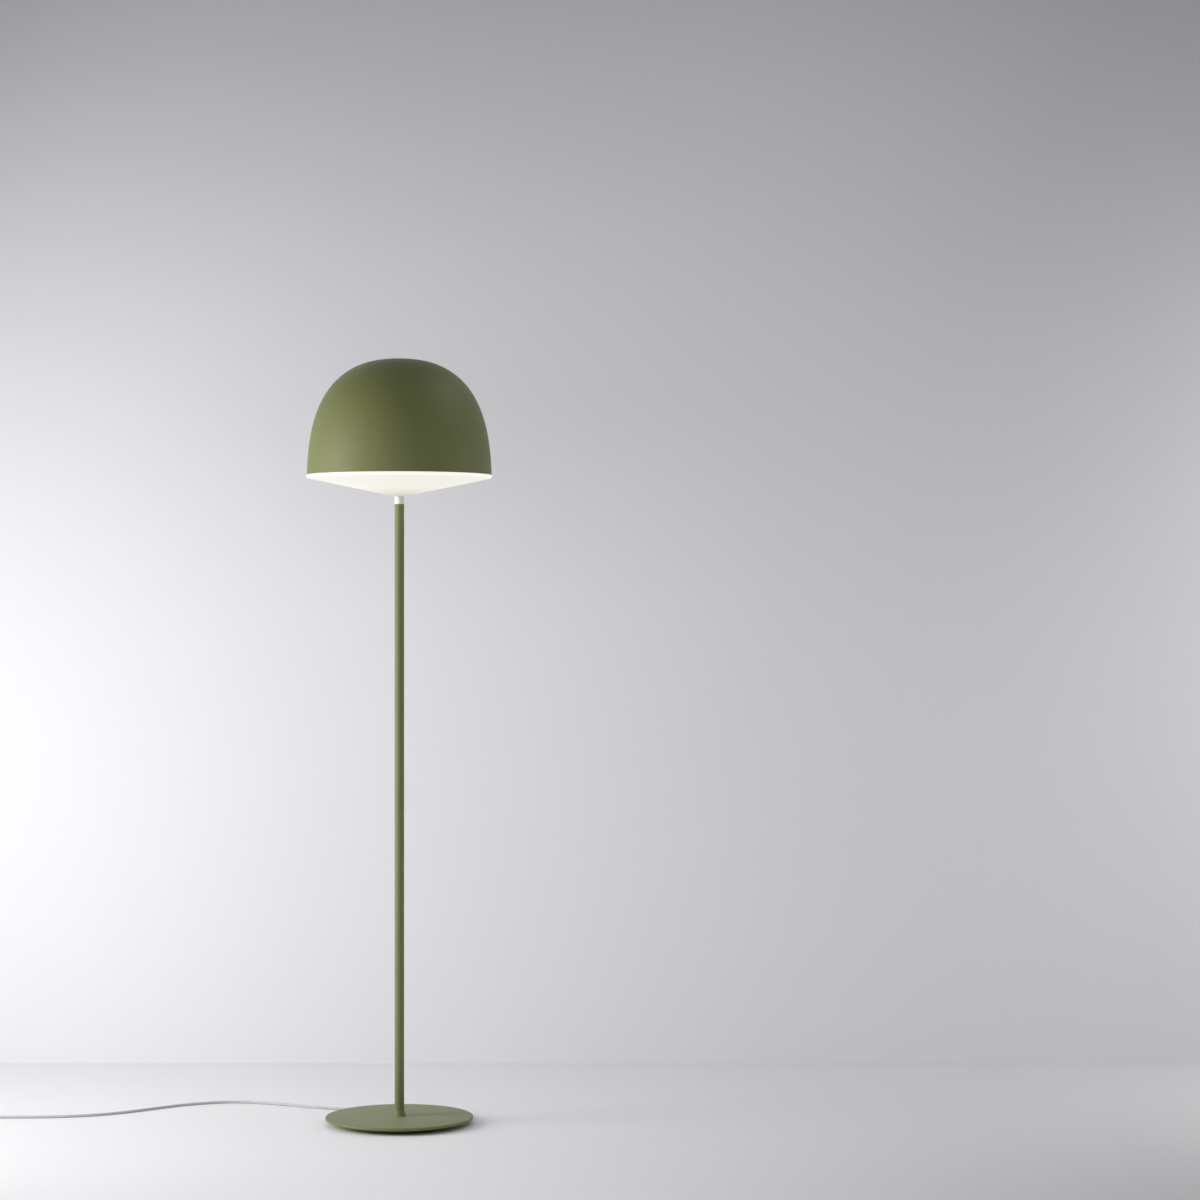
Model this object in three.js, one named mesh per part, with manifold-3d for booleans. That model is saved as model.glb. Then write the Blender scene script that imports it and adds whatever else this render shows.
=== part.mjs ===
// A floor lamp: a round weighted base, a straight tube stem, an opal dish and a dome shade that rests on
// the dish's rim. Millimetres, +Z up, the stem's axis is Z and the floor is z = 0.
import * as THREE from 'three';
import { mergeVertices } from 'three/addons/utils/BufferGeometryUtils.js';
import Module from 'manifold-3d';

const wasm = await Module();
wasm.setup();

// Driving dimensions
const GAP = 0.3;                    // left between pieces that touch
const BASE_RADIUS = 139.7;
const BASE_TOP = 15;
const PLATE_THICKNESS = 5.7;
const RIM_ROUNDING = 2.3;
const FOOT_TOP_RADIUS = 115.5;
const FOOT_BOTTOM_RADIUS = 111.5;
const FOOT_LOW = 1.5;
const POCKET_RADIUS = 42;           // hollow in the middle of the foot
const CORD_ANGLE = 120;             // degrees about Z from +X: where the cord leaves the base
const STEM_RADIUS = 9;
const STEM_WALL = 1.2;
const STEM_TOP = 1172.3;
const NECK_TOP = 1186.7;
const DISH_RADIUS = 175;
const DISH_SLOPE = 0.211;           // rise per millimetre of radius
const DISH_RIM_HEIGHT = 5.3;
const DISH_WALL = 2.6;
const SHADE_WALL = 1;
const SHADE_CURVE = { radius: 175.3, radiusPower: 2.4, centre: 1156.3, height: 291, heightPower: 3.28 };
const HOLDER_LOW = 1197;            // underside of the lampholder
const BULB_LOW = 1224.5;            // the bulb's tip contact
const CORD_RADIUS = 2.5;
const CORD_REST = 2.65;             // height of the cord's middle where it lies on the floor
const SWITCH_PLACE = new THREE.Vector3(-842, 60, 0);
const SWITCH_LENGTH = 64;
const SWITCH_WIDTH = 36;
const COIL_RADIUS = 30;             // at the middle of the turns
const COIL_TURNS = 3.75;            // in each layer, side by side
const COIL_LAYERS = 2;
const COIL_LOW = 1.25;              // the tie passes under the coil
const COIL_X = -940;

const ROUND = 48;                   // facets round a large piece
const SMALL = 20;                   // facets round a small one
const TINY = 8;                     // facets round a screw or its hole
const EXIT_Z = 5;                   // cord's middle in the foot's channel

// ---- Making solids ------------------------------------------------------------------------------

// A body turned about Z. The [radius, height] points run anticlockwise with the axis on their left.
function turned(points, facets = SMALL) {
  const profile = points.map(([radius, height]) => new THREE.Vector2(radius, height));
  return new THREE.LatheGeometry(profile, facets).rotateX(Math.PI / 2);
}

function rod(radius, low, high, facets = SMALL) {
  return turned([[0, low], [radius, low], [radius, high], [0, high]], facets);
}

function ring(inner, outer, low, high, facets = SMALL) {
  return turned([[inner, low], [outer, low], [outer, high], [inner, high], [inner, low]], facets);
}

// A washer that is flat near the axis and rises with the dish's cone further out.
function conicWasher(bore, outer, low, thickness, facets) {
  const rise = (outer - STEM_RADIUS) * DISH_SLOPE;
  return turned([
    [bore, low], [STEM_RADIUS, low], [outer, low + rise],
    [outer, low + rise + thickness], [STEM_RADIUS, low + thickness], [bore, low + thickness], [bore, low],
  ], facets);
}

function box(sizeX, sizeY, sizeZ, x, y, z) {
  return new THREE.BoxGeometry(sizeX, sizeY, sizeZ).translate(x, y, z);
}

// A screw standing upright with its head below.
function screw(shankRadius, headRadius, low, headHeight, high) {
  return turned([
    [0, low], [headRadius, low], [headRadius, low + headHeight],
    [shankRadius, low + headHeight], [shankRadius, high], [0, high],
  ], TINY);
}

function extruded(shape, low, high, bevel = 0) {
  return new THREE.ExtrudeGeometry(shape, {
    depth: high - low - 2 * bevel, curveSegments: 3, bevelEnabled: bevel > 0,
    bevelThickness: bevel, bevelSize: bevel, bevelOffset: -bevel, bevelSegments: 2,
  }).translate(0, 0, low + bevel);
}

function outline(points) {
  return new THREE.Shape(points.map((point) => new THREE.Vector2(...point)));
}

function roundedOutline(length, width, corner) {
  const x = length / 2 - corner;
  const y = width / 2 - corner;
  const shape = new THREE.Shape();
  shape.absarc(x, y, corner, 0, Math.PI / 2);
  shape.absarc(-x, y, corner, Math.PI / 2, Math.PI);
  shape.absarc(-x, -y, corner, Math.PI, 1.5 * Math.PI);
  shape.absarc(x, -y, corner, 1.5 * Math.PI, 2 * Math.PI);
  return shape;
}

// A route whose steps follow its own points, so bends take short steps and straight runs long ones.
class Route extends THREE.CatmullRomCurve3 {
  constructor(points) {
    super(points.map((point) => new THREE.Vector3(...point)));
  }

  getUtoTmapping(u) {
    return u;
  }
}

function tube(route, radius, stepsPerPoint = 2, sides = 8) {
  const section = new THREE.Shape().absarc(0, 0, radius, 0, 2 * Math.PI);
  return new THREE.ExtrudeGeometry(section, {
    extrudePath: route, steps: (route.points.length - 1) * stepsPerPoint, curveSegments: sides / 2,
  });
}

function toSolid(geometry) {
  const bare = geometry.clone();
  bare.deleteAttribute('normal');
  bare.deleteAttribute('uv');
  const merged = mergeVertices(bare, 1e-4);
  return new wasm.Manifold(new wasm.Mesh({
    numProp: 3,
    vertProperties: merged.attributes.position.array,
    triVerts: new Uint32Array(merged.index.array),
  }));
}

function toGeometry(solid) {
  const mesh = solid.getMesh();
  const geometry = new THREE.BufferGeometry();
  geometry.setAttribute('position', new THREE.BufferAttribute(mesh.vertProperties, 3));
  geometry.setIndex(new THREE.BufferAttribute(mesh.triVerts, 1));
  geometry.computeVertexNormals();
  return geometry;
}

function cut(geometry, tools) {
  return toGeometry(tools.reduce((solid, tool) => solid.subtract(toSolid(tool)), toSolid(geometry)));
}

function joined(geometries) {
  return toGeometry(geometries.map(toSolid).reduce((whole, solid) => whole.add(solid)));
}

// [x, y] places spaced evenly on a circle
function around(count, radius, firstDegrees = 0) {
  return Array.from({ length: count }, (_, i) => {
    const angle = THREE.MathUtils.degToRad(firstDegrees + (i * 360) / count);
    return [radius * Math.cos(angle), radius * Math.sin(angle)];
  });
}

const FINISHES = {
  greenPaint: [0x848a5b, 0.55, 0.1],
  darkPaint: [0x4a4e34, 0.7, 0.1],
  rubber: [0x2a2a2a, 0.9, 0],
  zinc: [0xb4b6b8, 0.35, 1],
  whitePaint: [0xf0eee8, 0.5, 0],
  opal: [0xfbf8ef, 0.35, 0],
  whitePlastic: [0xe9e8e4, 0.45, 0],
  brass: [0xc9a24e, 0.3, 1],
  nickel: [0xc8c6c0, 0.25, 1],
  blackGlass: [0x16161a, 0.2, 0],
  greyCord: [0xc4c4c6, 0.6, 0],
  greyPlastic: [0xbdbdbf, 0.5, 0],
  brownWire: [0x6b3f22, 0.5, 0],
  blueWire: [0x2f62a8, 0.5, 0],
};

const lamp = new THREE.Group();
// Base pieces are placed with +X the way the cord leaves, then turned together.
const base = new THREE.Group();
base.rotation.z = THREE.MathUtils.degToRad(CORD_ANGLE);
const shade = new THREE.Group();
const footSwitch = new THREE.Group();
footSwitch.position.copy(SWITCH_PLACE);
lamp.add(base, shade, footSwitch);

function add(group, name, finish, geometry) {
  const [color, roughness, metalness] = FINISHES[finish];
  const mesh = new THREE.Mesh(geometry, new THREE.MeshStandardMaterial({ color, roughness, metalness }));
  mesh.name = name;
  group.add(mesh);
  return mesh;
}

// ---- Base ---------------------------------------------------------------------------------------

const plateLow = BASE_TOP - PLATE_THICKNESS;
const screwAngle = 60;
const footScrewPlaces = around(3, 80, screwAngle);
const flangeScrewPlaces = around(3, 15.5, screwAngle);
const clipPlace = [33.5, 8.2];
const holeTop = plateLow + 4.2;
const screwTop = holeTop - 0.4;

function basePlate() {
  const edge = (degrees, height) => {
    const angle = THREE.MathUtils.degToRad(degrees);
    return [
      BASE_RADIUS - RIM_ROUNDING * (1 - Math.cos(angle)),
      height + RIM_ROUNDING * Math.sin(angle),
    ];
  };
  const bore = STEM_RADIUS - STEM_WALL;
  const disc = turned([
    [bore, plateLow],
    ...[-90, -45, 0].map((degrees) => edge(degrees, plateLow + RIM_ROUNDING)),
    ...[0, 45, 90].map((degrees) => edge(degrees, BASE_TOP - RIM_ROUNDING)),
    [bore, BASE_TOP], [bore, plateLow],
  ], ROUND);
  const hole = (radius) => ([x, y]) => rod(radius, plateLow - 1, holeTop, TINY).translate(x, y, 0);
  return cut(disc, [
    ...footScrewPlaces.map(hole(2.5)), ...flangeScrewPlaces.map(hole(1.9)), hole(1.8)(clipPlace),
  ]);
}
add(base, 'base_plate', 'greenPaint', basePlate());

const footTop = plateLow - GAP;
const counterboreTop = FOOT_LOW + 3.4;
const channelWidth = 8.4;
function foot() {
  const ballast = turned([
    [POCKET_RADIUS, FOOT_LOW], [FOOT_BOTTOM_RADIUS, FOOT_LOW],
    [FOOT_TOP_RADIUS, footTop], [POCKET_RADIUS, footTop], [POCKET_RADIUS, FOOT_LOW],
  ], ROUND);
  const channelLength = FOOT_TOP_RADIUS - POCKET_RADIUS + 20;
  const channel = box(channelLength, channelWidth, 20, POCKET_RADIUS - 8 + channelLength / 2, 0, 5);
  const holes = footScrewPlaces.flatMap(([x, y]) => [
    rod(2.5, 0, 20, TINY).translate(x, y, 0), rod(4.9, 0, counterboreTop, TINY).translate(x, y, 0),
  ]);
  return cut(ballast, [channel, ...holes]);
}
add(base, 'base_foot', 'darkPaint', foot());
footScrewPlaces.forEach(([x, y], i) => {
  add(base, `foot_screw_${i + 1}`, 'zinc', screw(2.2, 4.6, FOOT_LOW + GAP, 2.8, screwTop)).position.set(x, y, 0);
});
add(base, 'floor_ring', 'rubber', ring(62, 104, 0, FOOT_LOW - GAP, 32));
add(base, 'under_cover', 'rubber', rod(58, 0.3, FOOT_LOW - GAP, 32));

const spigotBore = 5.2;
const flangeLow = 7.2;
function stemFlange() {
  const spigot = STEM_RADIUS - STEM_WALL - GAP;
  const flange = turned([
    [spigotBore, flangeLow], [23, flangeLow], [23, footTop], [spigot, footTop], [spigot, 45],
    [spigotBore, 45], [spigotBore, flangeLow],
  ]);
  return cut(flange, flangeScrewPlaces.map(([x, y]) => rod(1.9, 0, 20, TINY).translate(x, y, 0)));
}
add(base, 'stem_flange', 'zinc', stemFlange());
flangeScrewPlaces.forEach(([x, y], i) => {
  add(base, `flange_screw_${i + 1}`, 'zinc', screw(1.6, 3.2, flangeLow - 2.1, 1.8, screwTop)).position.set(x, y, 0);
});

// ---- Cord where it enters the base ------------------------------------------------------------------

const glandInner = 106;
const glandLength = 31;
const glandDrop = 1.7;
const gland = add(base, 'cord_gland', 'greyPlastic', turned([
  [0, 0], [3.9, 0], [3.9, 10], [3.7, 11], [3.0, glandLength], [0, glandLength],
], TINY));
gland.position.set(glandInner, 0, EXIT_Z);
gland.rotation.y = Math.PI / 2 + Math.asin(glandDrop / glandLength);

const clipZ = 5.2;
function cordClip() {
  const across = (radius, length) => rod(radius, -length / 2, length / 2, 16)
    .rotateY(Math.PI / 2).translate(clipPlace[0], 0, clipZ);
  const ear = box(7, 12, 1.5, clipPlace[0], 6, clipZ + 2.85);
  const hole = rod(1.8, 0, 20, TINY).translate(...clipPlace, 0);
  return cut(joined([across(3.6, 7), ear]), [across(2.8, 20), hole]);
}
add(base, 'cord_clip', 'whitePlastic', cordClip());
add(base, 'clip_screw', 'zinc', screw(1.5, 3, 5.2, 1.7, screwTop)).position.set(...clipPlace, 0);

// The lead lies in the foot's channel, turns up into the stem and ends inside the lampholder.
const leadTop = HOLDER_LOW + 7;
const bend = 7;
const leadLow = 4.4;
const bendPoints = [0, 30, 60, 90].map((degrees) => {
  const angle = THREE.MathUtils.degToRad(degrees);
  return [bend * (1 - Math.sin(angle)), 0, leadLow + bend * (1 - Math.cos(angle))];
});
add(base, 'mains_lead', 'greyCord', tube(new Route([
  [glandInner - GAP, 0, EXIT_Z], [80, 0, EXIT_Z], [50, 0, clipZ], [38, 0, clipZ], [30, 0, clipZ],
  [22, 0, leadLow + 0.1], [14, 0, leadLow], ...bendPoints, [0, 0, 30], [0, 0, 120],
  ...[400, 700, 1000].map((z) => [0, 0, z]), [0, 0, leadTop - 20], [0, 0, leadTop],
]), CORD_RADIUS));

// ---- Stem ------------------------------------------------------------------------------------------

const stemBore = STEM_RADIUS - STEM_WALL;
add(lamp, 'stem_tube', 'greenPaint', ring(stemBore, STEM_RADIUS, BASE_TOP + GAP, STEM_TOP));
add(lamp, 'stem_collar', 'greenPaint', turned([
  [STEM_RADIUS + GAP, BASE_TOP + GAP], [12.3, BASE_TOP + GAP], [12.0, 17.4], [11.0, 20],
  [10.2, 23], [9.9, 26], [STEM_RADIUS + GAP, 26], [STEM_RADIUS + GAP, BASE_TOP + GAP],
]));
const nippleRadius = 5;
const nippleBore = nippleRadius + GAP;
add(lamp, 'stem_top_bush', 'brass', ring(nippleBore, stemBore - GAP, STEM_TOP - 18, STEM_TOP));
add(lamp, 'threaded_nipple', 'zinc', ring(3.4, nippleRadius, STEM_TOP - 15, HOLDER_LOW + 5));
add(lamp, 'neck_spacer', 'whitePaint', ring(nippleBore, STEM_RADIUS, STEM_TOP + GAP, NECK_TOP));

// ---- Dish ------------------------------------------------------------------------------------------

const dishLow = NECK_TOP + GAP;
const coneTop = dishLow + (DISH_RADIUS - STEM_RADIUS) * DISH_SLOPE;
const dishTop = coneTop + DISH_RIM_HEIGHT;
const rimInner = DISH_RADIUS - 3.1;
const innerCone = (radius) => dishLow + DISH_WALL + (radius - STEM_RADIUS) * DISH_SLOPE;
add(lamp, 'dish', 'opal', turned([
  [nippleBore, dishLow], [STEM_RADIUS, dishLow], [DISH_RADIUS - 2.4, coneTop - 0.4],
  [DISH_RADIUS - 0.8, coneTop + 0.4], [DISH_RADIUS, coneTop + 2.2], [DISH_RADIUS, dishTop - 0.6],
  [DISH_RADIUS - 0.6, dishTop], [rimInner, dishTop], [rimInner, innerCone(rimInner)],
  [STEM_RADIUS, dishLow + DISH_WALL], [nippleBore, dishLow + DISH_WALL], [nippleBore, dishLow],
], ROUND));

// Three upright tabs stand inside the dish's rim and centre the shade.
const tabLow = innerCone(rimInner) + GAP;
const tabProfile = outline([
  [rimInner - 2.2, tabLow], [rimInner - GAP, tabLow], [rimInner - GAP, tabLow + 14],
  [rimInner - 1.6, tabLow + 18], [rimInner - 3.2, tabLow + 18], [rimInner - 2.2, tabLow + 14],
]);
[90, 210, 330].forEach((degrees, i) => {
  const tab = new THREE.ExtrudeGeometry(tabProfile, { depth: 14, bevelEnabled: false })
    .translate(0, 0, -7).rotateX(Math.PI / 2).translate(-0.2, 0, 0);
  add(lamp, `centring_tab_${i + 1}`, 'whitePlastic', tab).rotation.z = THREE.MathUtils.degToRad(degrees);
});

const gasketLow = dishLow + DISH_WALL + GAP;
const discLow = gasketLow + 1 + GAP;
const nutLow = discLow + 1.2 + GAP;
add(lamp, 'dish_gasket', 'rubber', conicWasher(nippleBore, 16, gasketLow, 1));
add(lamp, 'dish_disc', 'whitePaint', conicWasher(nippleBore, 30, discLow, 1.2));
const nutOutline = outline(around(6, 8));
nutOutline.holes.push(outline(around(SMALL, nippleBore)));
add(lamp, 'lock_nut', 'zinc', extruded(nutOutline, nutLow, HOLDER_LOW - GAP));

// ---- Lampholder --------------------------------------------------------------------------------------

const holderRadius = 20;
const seam = HOLDER_LOW + 18;
const insertLow = seam + 1;
const insertTop = insertLow + 7;
const shellTop = HOLDER_LOW + 53;
add(lamp, 'holder_cap', 'whitePlastic', turned([
  [nippleBore, HOLDER_LOW], [10, HOLDER_LOW], [16, HOLDER_LOW + 3], [holderRadius, HOLDER_LOW + 9],
  [holderRadius, seam], [17.4, seam], [17.4, HOLDER_LOW + 9], [14, HOLDER_LOW + 5],
  [nippleBore, HOLDER_LOW + 4.4], [nippleBore, HOLDER_LOW],
], SMALL));
add(lamp, 'holder_shell', 'whitePlastic', turned([
  [17.6, seam + GAP], [holderRadius, seam + GAP], [holderRadius, shellTop - 1], [holderRadius - 1, shellTop],
  [15.2, shellTop], [15.2, shellTop - 2], [17.6, shellTop - 2], [17.6, seam + GAP],
], SMALL));
const terminals = [[9, 0], [-9, 0]];
add(lamp, 'holder_insert', 'whitePlastic', cut(
  rod(17.2, insertLow, insertTop),
  terminals.map(([x, y]) => rod(1.8, 0, insertTop - 1, TINY).translate(x, y, 0)),
));
add(lamp, 'holder_sleeve', 'nickel', ring(13.4, 14.2, insertTop + GAP, shellTop - 2 - GAP));
add(lamp, 'centre_contact', 'brass', box(11, 4, 0.7, 0, 0, insertTop + GAP + 0.35));
add(lamp, 'side_contact', 'brass', box(0.8, 5, 12, 15, 0, insertTop + GAP + 6));
terminals.forEach(([x, y], i) => {
  const body = screw(1.5, 2.6, insertLow - 2.3, 2, insertTop - 1.5);
  add(lamp, `terminal_screw_${i + 1}`, 'brass', body).position.set(x, y, 0);
});
[['live_wire', 'brownWire', 1], ['neutral_wire', 'blueWire', -1]].forEach(([name, finish, side]) => {
  add(lamp, name, finish, tube(new Route([
    [side * 1.3, 0, leadTop + GAP], [side * 2, 0, leadTop + 2], [side * 5, 0, leadTop + 4.6],
    [side * 8, 0, leadTop + 6.6], [side * 9, 0, insertLow - 2.3 - GAP],
  ]), 1));
});

// ---- Bulb --------------------------------------------------------------------------------------------

const capTop = BULB_LOW + 27;
add(lamp, 'bulb_tip', 'brass', rod(4.2, BULB_LOW, BULB_LOW + 1.8, 16));
add(lamp, 'bulb_insulator', 'blackGlass', turned([
  [0, BULB_LOW + 2.1], [5, BULB_LOW + 2.1], [12.2, BULB_LOW + 5.9], [0, BULB_LOW + 5.9],
]));
add(lamp, 'bulb_cap', 'nickel', ring(12.2, 12.9, BULB_LOW + 6.2, capTop));
function bulbGlobe(wall) {
  const globeLow = capTop + GAP;
  const outline = (inset) => new THREE.SplineCurve([
    [13.8, 0], [15.6, 10], [21, 23], [27.6, 36], [30, 49], [26.4, 64.5], [15.5, 75.5], [0, 80],
  ].map(([radius, height]) => new THREE.Vector2(
    Math.max(radius - inset, 0), globeLow + height * (1 - inset / 80),
  ))).getPoints(9);
  return [...outline(wall).reverse(), ...outline(0)].map(({ x, y }) => [Math.abs(x) < 1e-6 ? 0 : x, y]);
}
add(lamp, 'bulb_globe', 'opal', turned(bulbGlobe(1.2)));

// ---- Shade -------------------------------------------------------------------------------------------

// The dome is a superellipse: fuller at the shoulder and flatter on top than a circle.
const shadeLow = dishTop + GAP;
function domeCurve(inset, steps) {
  const radius = SHADE_CURVE.radius - inset;
  const height = SHADE_CURVE.height - inset;
  const first = Math.asin(((shadeLow - SHADE_CURVE.centre) / height) ** (SHADE_CURVE.heightPower / 2));
  return Array.from({ length: steps + 1 }, (_, i) => {
    const angle = first + ((Math.PI / 2 - first) * i) / steps;
    const across = i === steps ? 0 : radius * Math.cos(angle) ** (2 / SHADE_CURVE.radiusPower);
    return [across, SHADE_CURVE.centre + height * Math.sin(angle) ** (2 / SHADE_CURVE.heightPower)];
  });
}
add(shade, 'shade_dome', 'greenPaint', turned(
  [...domeCurve(SHADE_WALL, 10).reverse(), ...domeCurve(0, 10)], ROUND,
));

// ---- Cord on the floor ---------------------------------------------------------------------------------

const reliefLength = 24;
const reliefTip = 3;
const inletZ = 5.6;
const switchEnd = SWITCH_LENGTH / 2;
const reliefEnd = switchEnd + reliefLength;
const exit = glandInner + glandLength + GAP;
const away = (distance, z) => [
  distance * Math.cos(base.rotation.z), distance * Math.sin(base.rotation.z), z,
];
add(lamp, 'cord_to_switch', 'greyCord', tube(new Route([
  away(exit, 3.28), away(exit + 8, 2.9), [-86, 134, CORD_REST], [-103, 146, CORD_REST],
  [-125, 156, CORD_REST], [-150, 164, CORD_REST], [-178, 176, CORD_REST], [-205, 189, CORD_REST],
  [-233, 204, CORD_REST], [-262, 217, CORD_REST], [-290, 228, CORD_REST], [-318, 235, CORD_REST],
  [-346, 237, CORD_REST], [-373, 232, CORD_REST], [-400, 222, CORD_REST], [-425, 209, CORD_REST],
  [-449, 193, CORD_REST], [-472, 174, CORD_REST], [-494, 154, CORD_REST], [-518, 132, CORD_REST],
  [-545, 111, CORD_REST], [-576, 92, CORD_REST], [-611, 77, CORD_REST], [-650, 67, CORD_REST],
  [-692, 62, CORD_REST], [-737, 60, CORD_REST], [-770, 60, CORD_REST],
  [SWITCH_PLACE.x + reliefEnd + GAP, SWITCH_PLACE.y, 3.2],
]), CORD_RADIUS));

// ---- Foot switch -------------------------------------------------------------------------------------

const shellWall = 2;
const lowerTop = 8;
const upperTop = 19;
const buttonRadius = 10;
const buttonTravel = 2.5;
const switchScrews = [[21, 10.5], [-21, -10.5]];
const outer = roundedOutline(SWITCH_LENGTH, SWITCH_WIDTH, 15);
const inner = roundedOutline(SWITCH_LENGTH - 2 * shellWall, SWITCH_WIDTH - 2 * shellWall, 13);
const upright = (radius, low, high) => ([x, y]) => rod(radius, low, high, TINY).translate(x, y, 0);
const lengthwise = (radius, length) => rod(radius, -length / 2, length / 2, 16)
  .rotateY(Math.PI / 2).translate(0, 0, inletZ);

const reliefHoles = lengthwise(4.5, SWITCH_LENGTH + 10);
add(footSwitch, 'switch_base', 'greyPlastic', cut(
  extruded(outer, 0.2, lowerTop),
  [
    extruded(inner, 3.2, lowerTop + 1), reliefHoles,
    ...switchScrews.map(upright(1.6, -1, 5)), ...switchScrews.map(upright(2.8, -1, 2.1)),
  ],
));
add(footSwitch, 'switch_cover', 'greyPlastic', cut(
  joined([
    cut(extruded(outer, lowerTop + GAP, upperTop, 3), [
      extruded(inner, lowerTop - 4, upperTop - shellWall), reliefHoles,
      rod(buttonRadius + GAP, upperTop - 5, upperTop + 1),
    ]),
    ...switchScrews.map(upright(3, lowerTop + GAP, upperTop - shellWall + 0.5)),
  ]),
  switchScrews.map(upright(1.6, 0, 15)),
));
switchScrews.forEach(([x, y], i) => {
  add(footSwitch, `switch_screw_${i + 1}`, 'zinc', screw(1.3, 2.5, 0.5, 1.3, 14.5)).position.set(x, y, 0);
});
const blockTop = 9.5;
add(footSwitch, 'switch_block', 'blackGlass', box(24, 15, blockTop - 3.5, 0, 0, (blockTop + 3.5) / 2));
const buttonTop = upperTop + 4;
const buttonFlange = upperTop - shellWall - GAP;
add(footSwitch, 'switch_button', 'whitePlastic', turned([
  [0, buttonTop - 2.2], [7, buttonTop - 2.2], [7, buttonFlange - 1.5], [11.6, buttonFlange - 1.5],
  [11.6, buttonFlange], [buttonRadius, buttonFlange], [buttonRadius, buttonTop - 1.2],
  [buttonRadius - 1.2, buttonTop], [0, buttonTop],
]));
const springTurns = 4;
const springPoints = Array.from({ length: springTurns * 8 + 1 }, (_, i) => {
  const angle = (i * Math.PI) / 4;
  const low = blockTop + 0.8;
  const high = buttonTop - 3.2;
  return [4.5 * Math.cos(angle), 4.5 * Math.sin(angle), low + ((high - low) * i) / (springTurns * 8)];
});
add(footSwitch, 'switch_spring', 'zinc', tube(new Route(springPoints), 0.45, 1, 6));
[['switch_relief_in', 1], ['switch_relief_out', -1]].forEach(([name, side]) => {
  const relief = add(footSwitch, name, 'greyPlastic', turned([
    [0, 0], [4.2, 0], [4.2, 3], [reliefTip, reliefLength + 3], [0, reliefLength + 3],
  ], TINY));
  relief.position.set(side * (switchEnd - 3), 0, inletZ);
  relief.rotation.y = side * (Math.PI / 2 + Math.asin(2.4 / (reliefLength + 3)));
});

// ---- Coil of spare cord and plug -----------------------------------------------------------------------

// Radii of the cord's middle in the outermost and the innermost turn
const outerTurn = COIL_RADIUS + COIL_TURNS * CORD_RADIUS;
const innerTurn = COIL_RADIUS - COIL_TURNS * CORD_RADIUS;
const coilInner = innerTurn - CORD_RADIUS - 0.1;
const coilOuter = outerTurn + CORD_RADIUS + 0.1;
const coilHigh = COIL_LOW + COIL_LAYERS * 2 * CORD_RADIUS + 0.2;
const coilY = SWITCH_PLACE.y - outerTurn;
// How far from the coil's middle, along X, a tangent cord reaches the coil's outside
const meet = Math.sqrt(coilOuter ** 2 - (outerTurn - CORD_RADIUS) ** 2) + GAP;
add(lamp, 'cord_to_coil', 'greyCord', tube(new Route([
  [SWITCH_PLACE.x - reliefEnd - GAP, SWITCH_PLACE.y, 3.2],
  [(SWITCH_PLACE.x - reliefEnd + COIL_X + meet) / 2, SWITCH_PLACE.y, 3.3],
  [COIL_X + meet, SWITCH_PLACE.y, COIL_LOW + CORD_RADIUS],
]), CORD_RADIUS));
add(lamp, 'cord_coil', 'greyCord', ring(coilInner, coilOuter, COIL_LOW, coilHigh, 32))
  .position.set(COIL_X, coilY, 0);

const tieWidth = 10;
function cordTie() {
  const nearSide = Math.sqrt(coilInner ** 2 - (tieWidth / 2) ** 2) - GAP;
  const farSide = coilOuter + GAP;
  const middle = (nearSide + farSide) / 2;
  const loop = (margin) => box(
    farSide - nearSide + 2 * margin, tieWidth + (margin ? 0 : 4), coilHigh - COIL_LOW + 0.6 + 2 * margin,
    -middle, 0, (coilHigh + COIL_LOW) / 2,
  );
  return cut(loop(0.8), [loop(0)]);
}
add(lamp, 'cord_tie', 'rubber', cordTie()).position.set(COIL_X, coilY, 0);

const plugY = coilY - outerTurn;
const plugX = COIL_X + 50;                // where the plug's strain relief starts
const plugZ = 7.1;
const plugReliefLength = 26;
add(lamp, 'cord_to_plug', 'greyCord', tube(new Route([
  [COIL_X + meet, plugY, COIL_LOW + 3 * CORD_RADIUS], [COIL_X + meet + 8, plugY, 7.6],
  [COIL_X + meet + 18, plugY, 5.2], [plugX - 3 * GAP, plugY, 3.9],
]), CORD_RADIUS));
const plugRelief = add(lamp, 'plug_relief', 'greyPlastic', turned([
  [0, 0], [3, 0], [5, plugReliefLength], [0, plugReliefLength],
], TINY));
plugRelief.position.set(plugX, plugY, 4);
plugRelief.rotation.y = Math.PI / 2 - Math.asin((plugZ - 4) / plugReliefLength);
const plugLow = plugX + plugReliefLength + 3 * GAP;
const plugLength = 34;
const plugOutline = outline([
  [0, -6], [8, -9], [plugLength - 10, -13], [plugLength, -13], [plugLength, 13], [plugLength - 10, 13],
  [8, 9], [0, 6],
]);
const plugThickness = 13.7;
add(lamp, 'plug_body', 'greyPlastic', extruded(plugOutline, 0, plugThickness, 2.5))
  .position.set(plugLow, plugY, plugZ - plugThickness / 2);
[1, -1].forEach((side, i) => {
  const pin = turned([[0, 0], [2, 0], [2, 17.5], [1.2, 19], [0, 19]], 12).rotateY(Math.PI / 2);
  add(lamp, `plug_pin_${i + 1}`, 'nickel', pin).position.set(plugLow + plugLength + GAP, plugY + side * 9.4, plugZ);
});

export default lamp;
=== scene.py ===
import math

import bmesh
import bpy
from mathutils import Matrix, Vector


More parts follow.
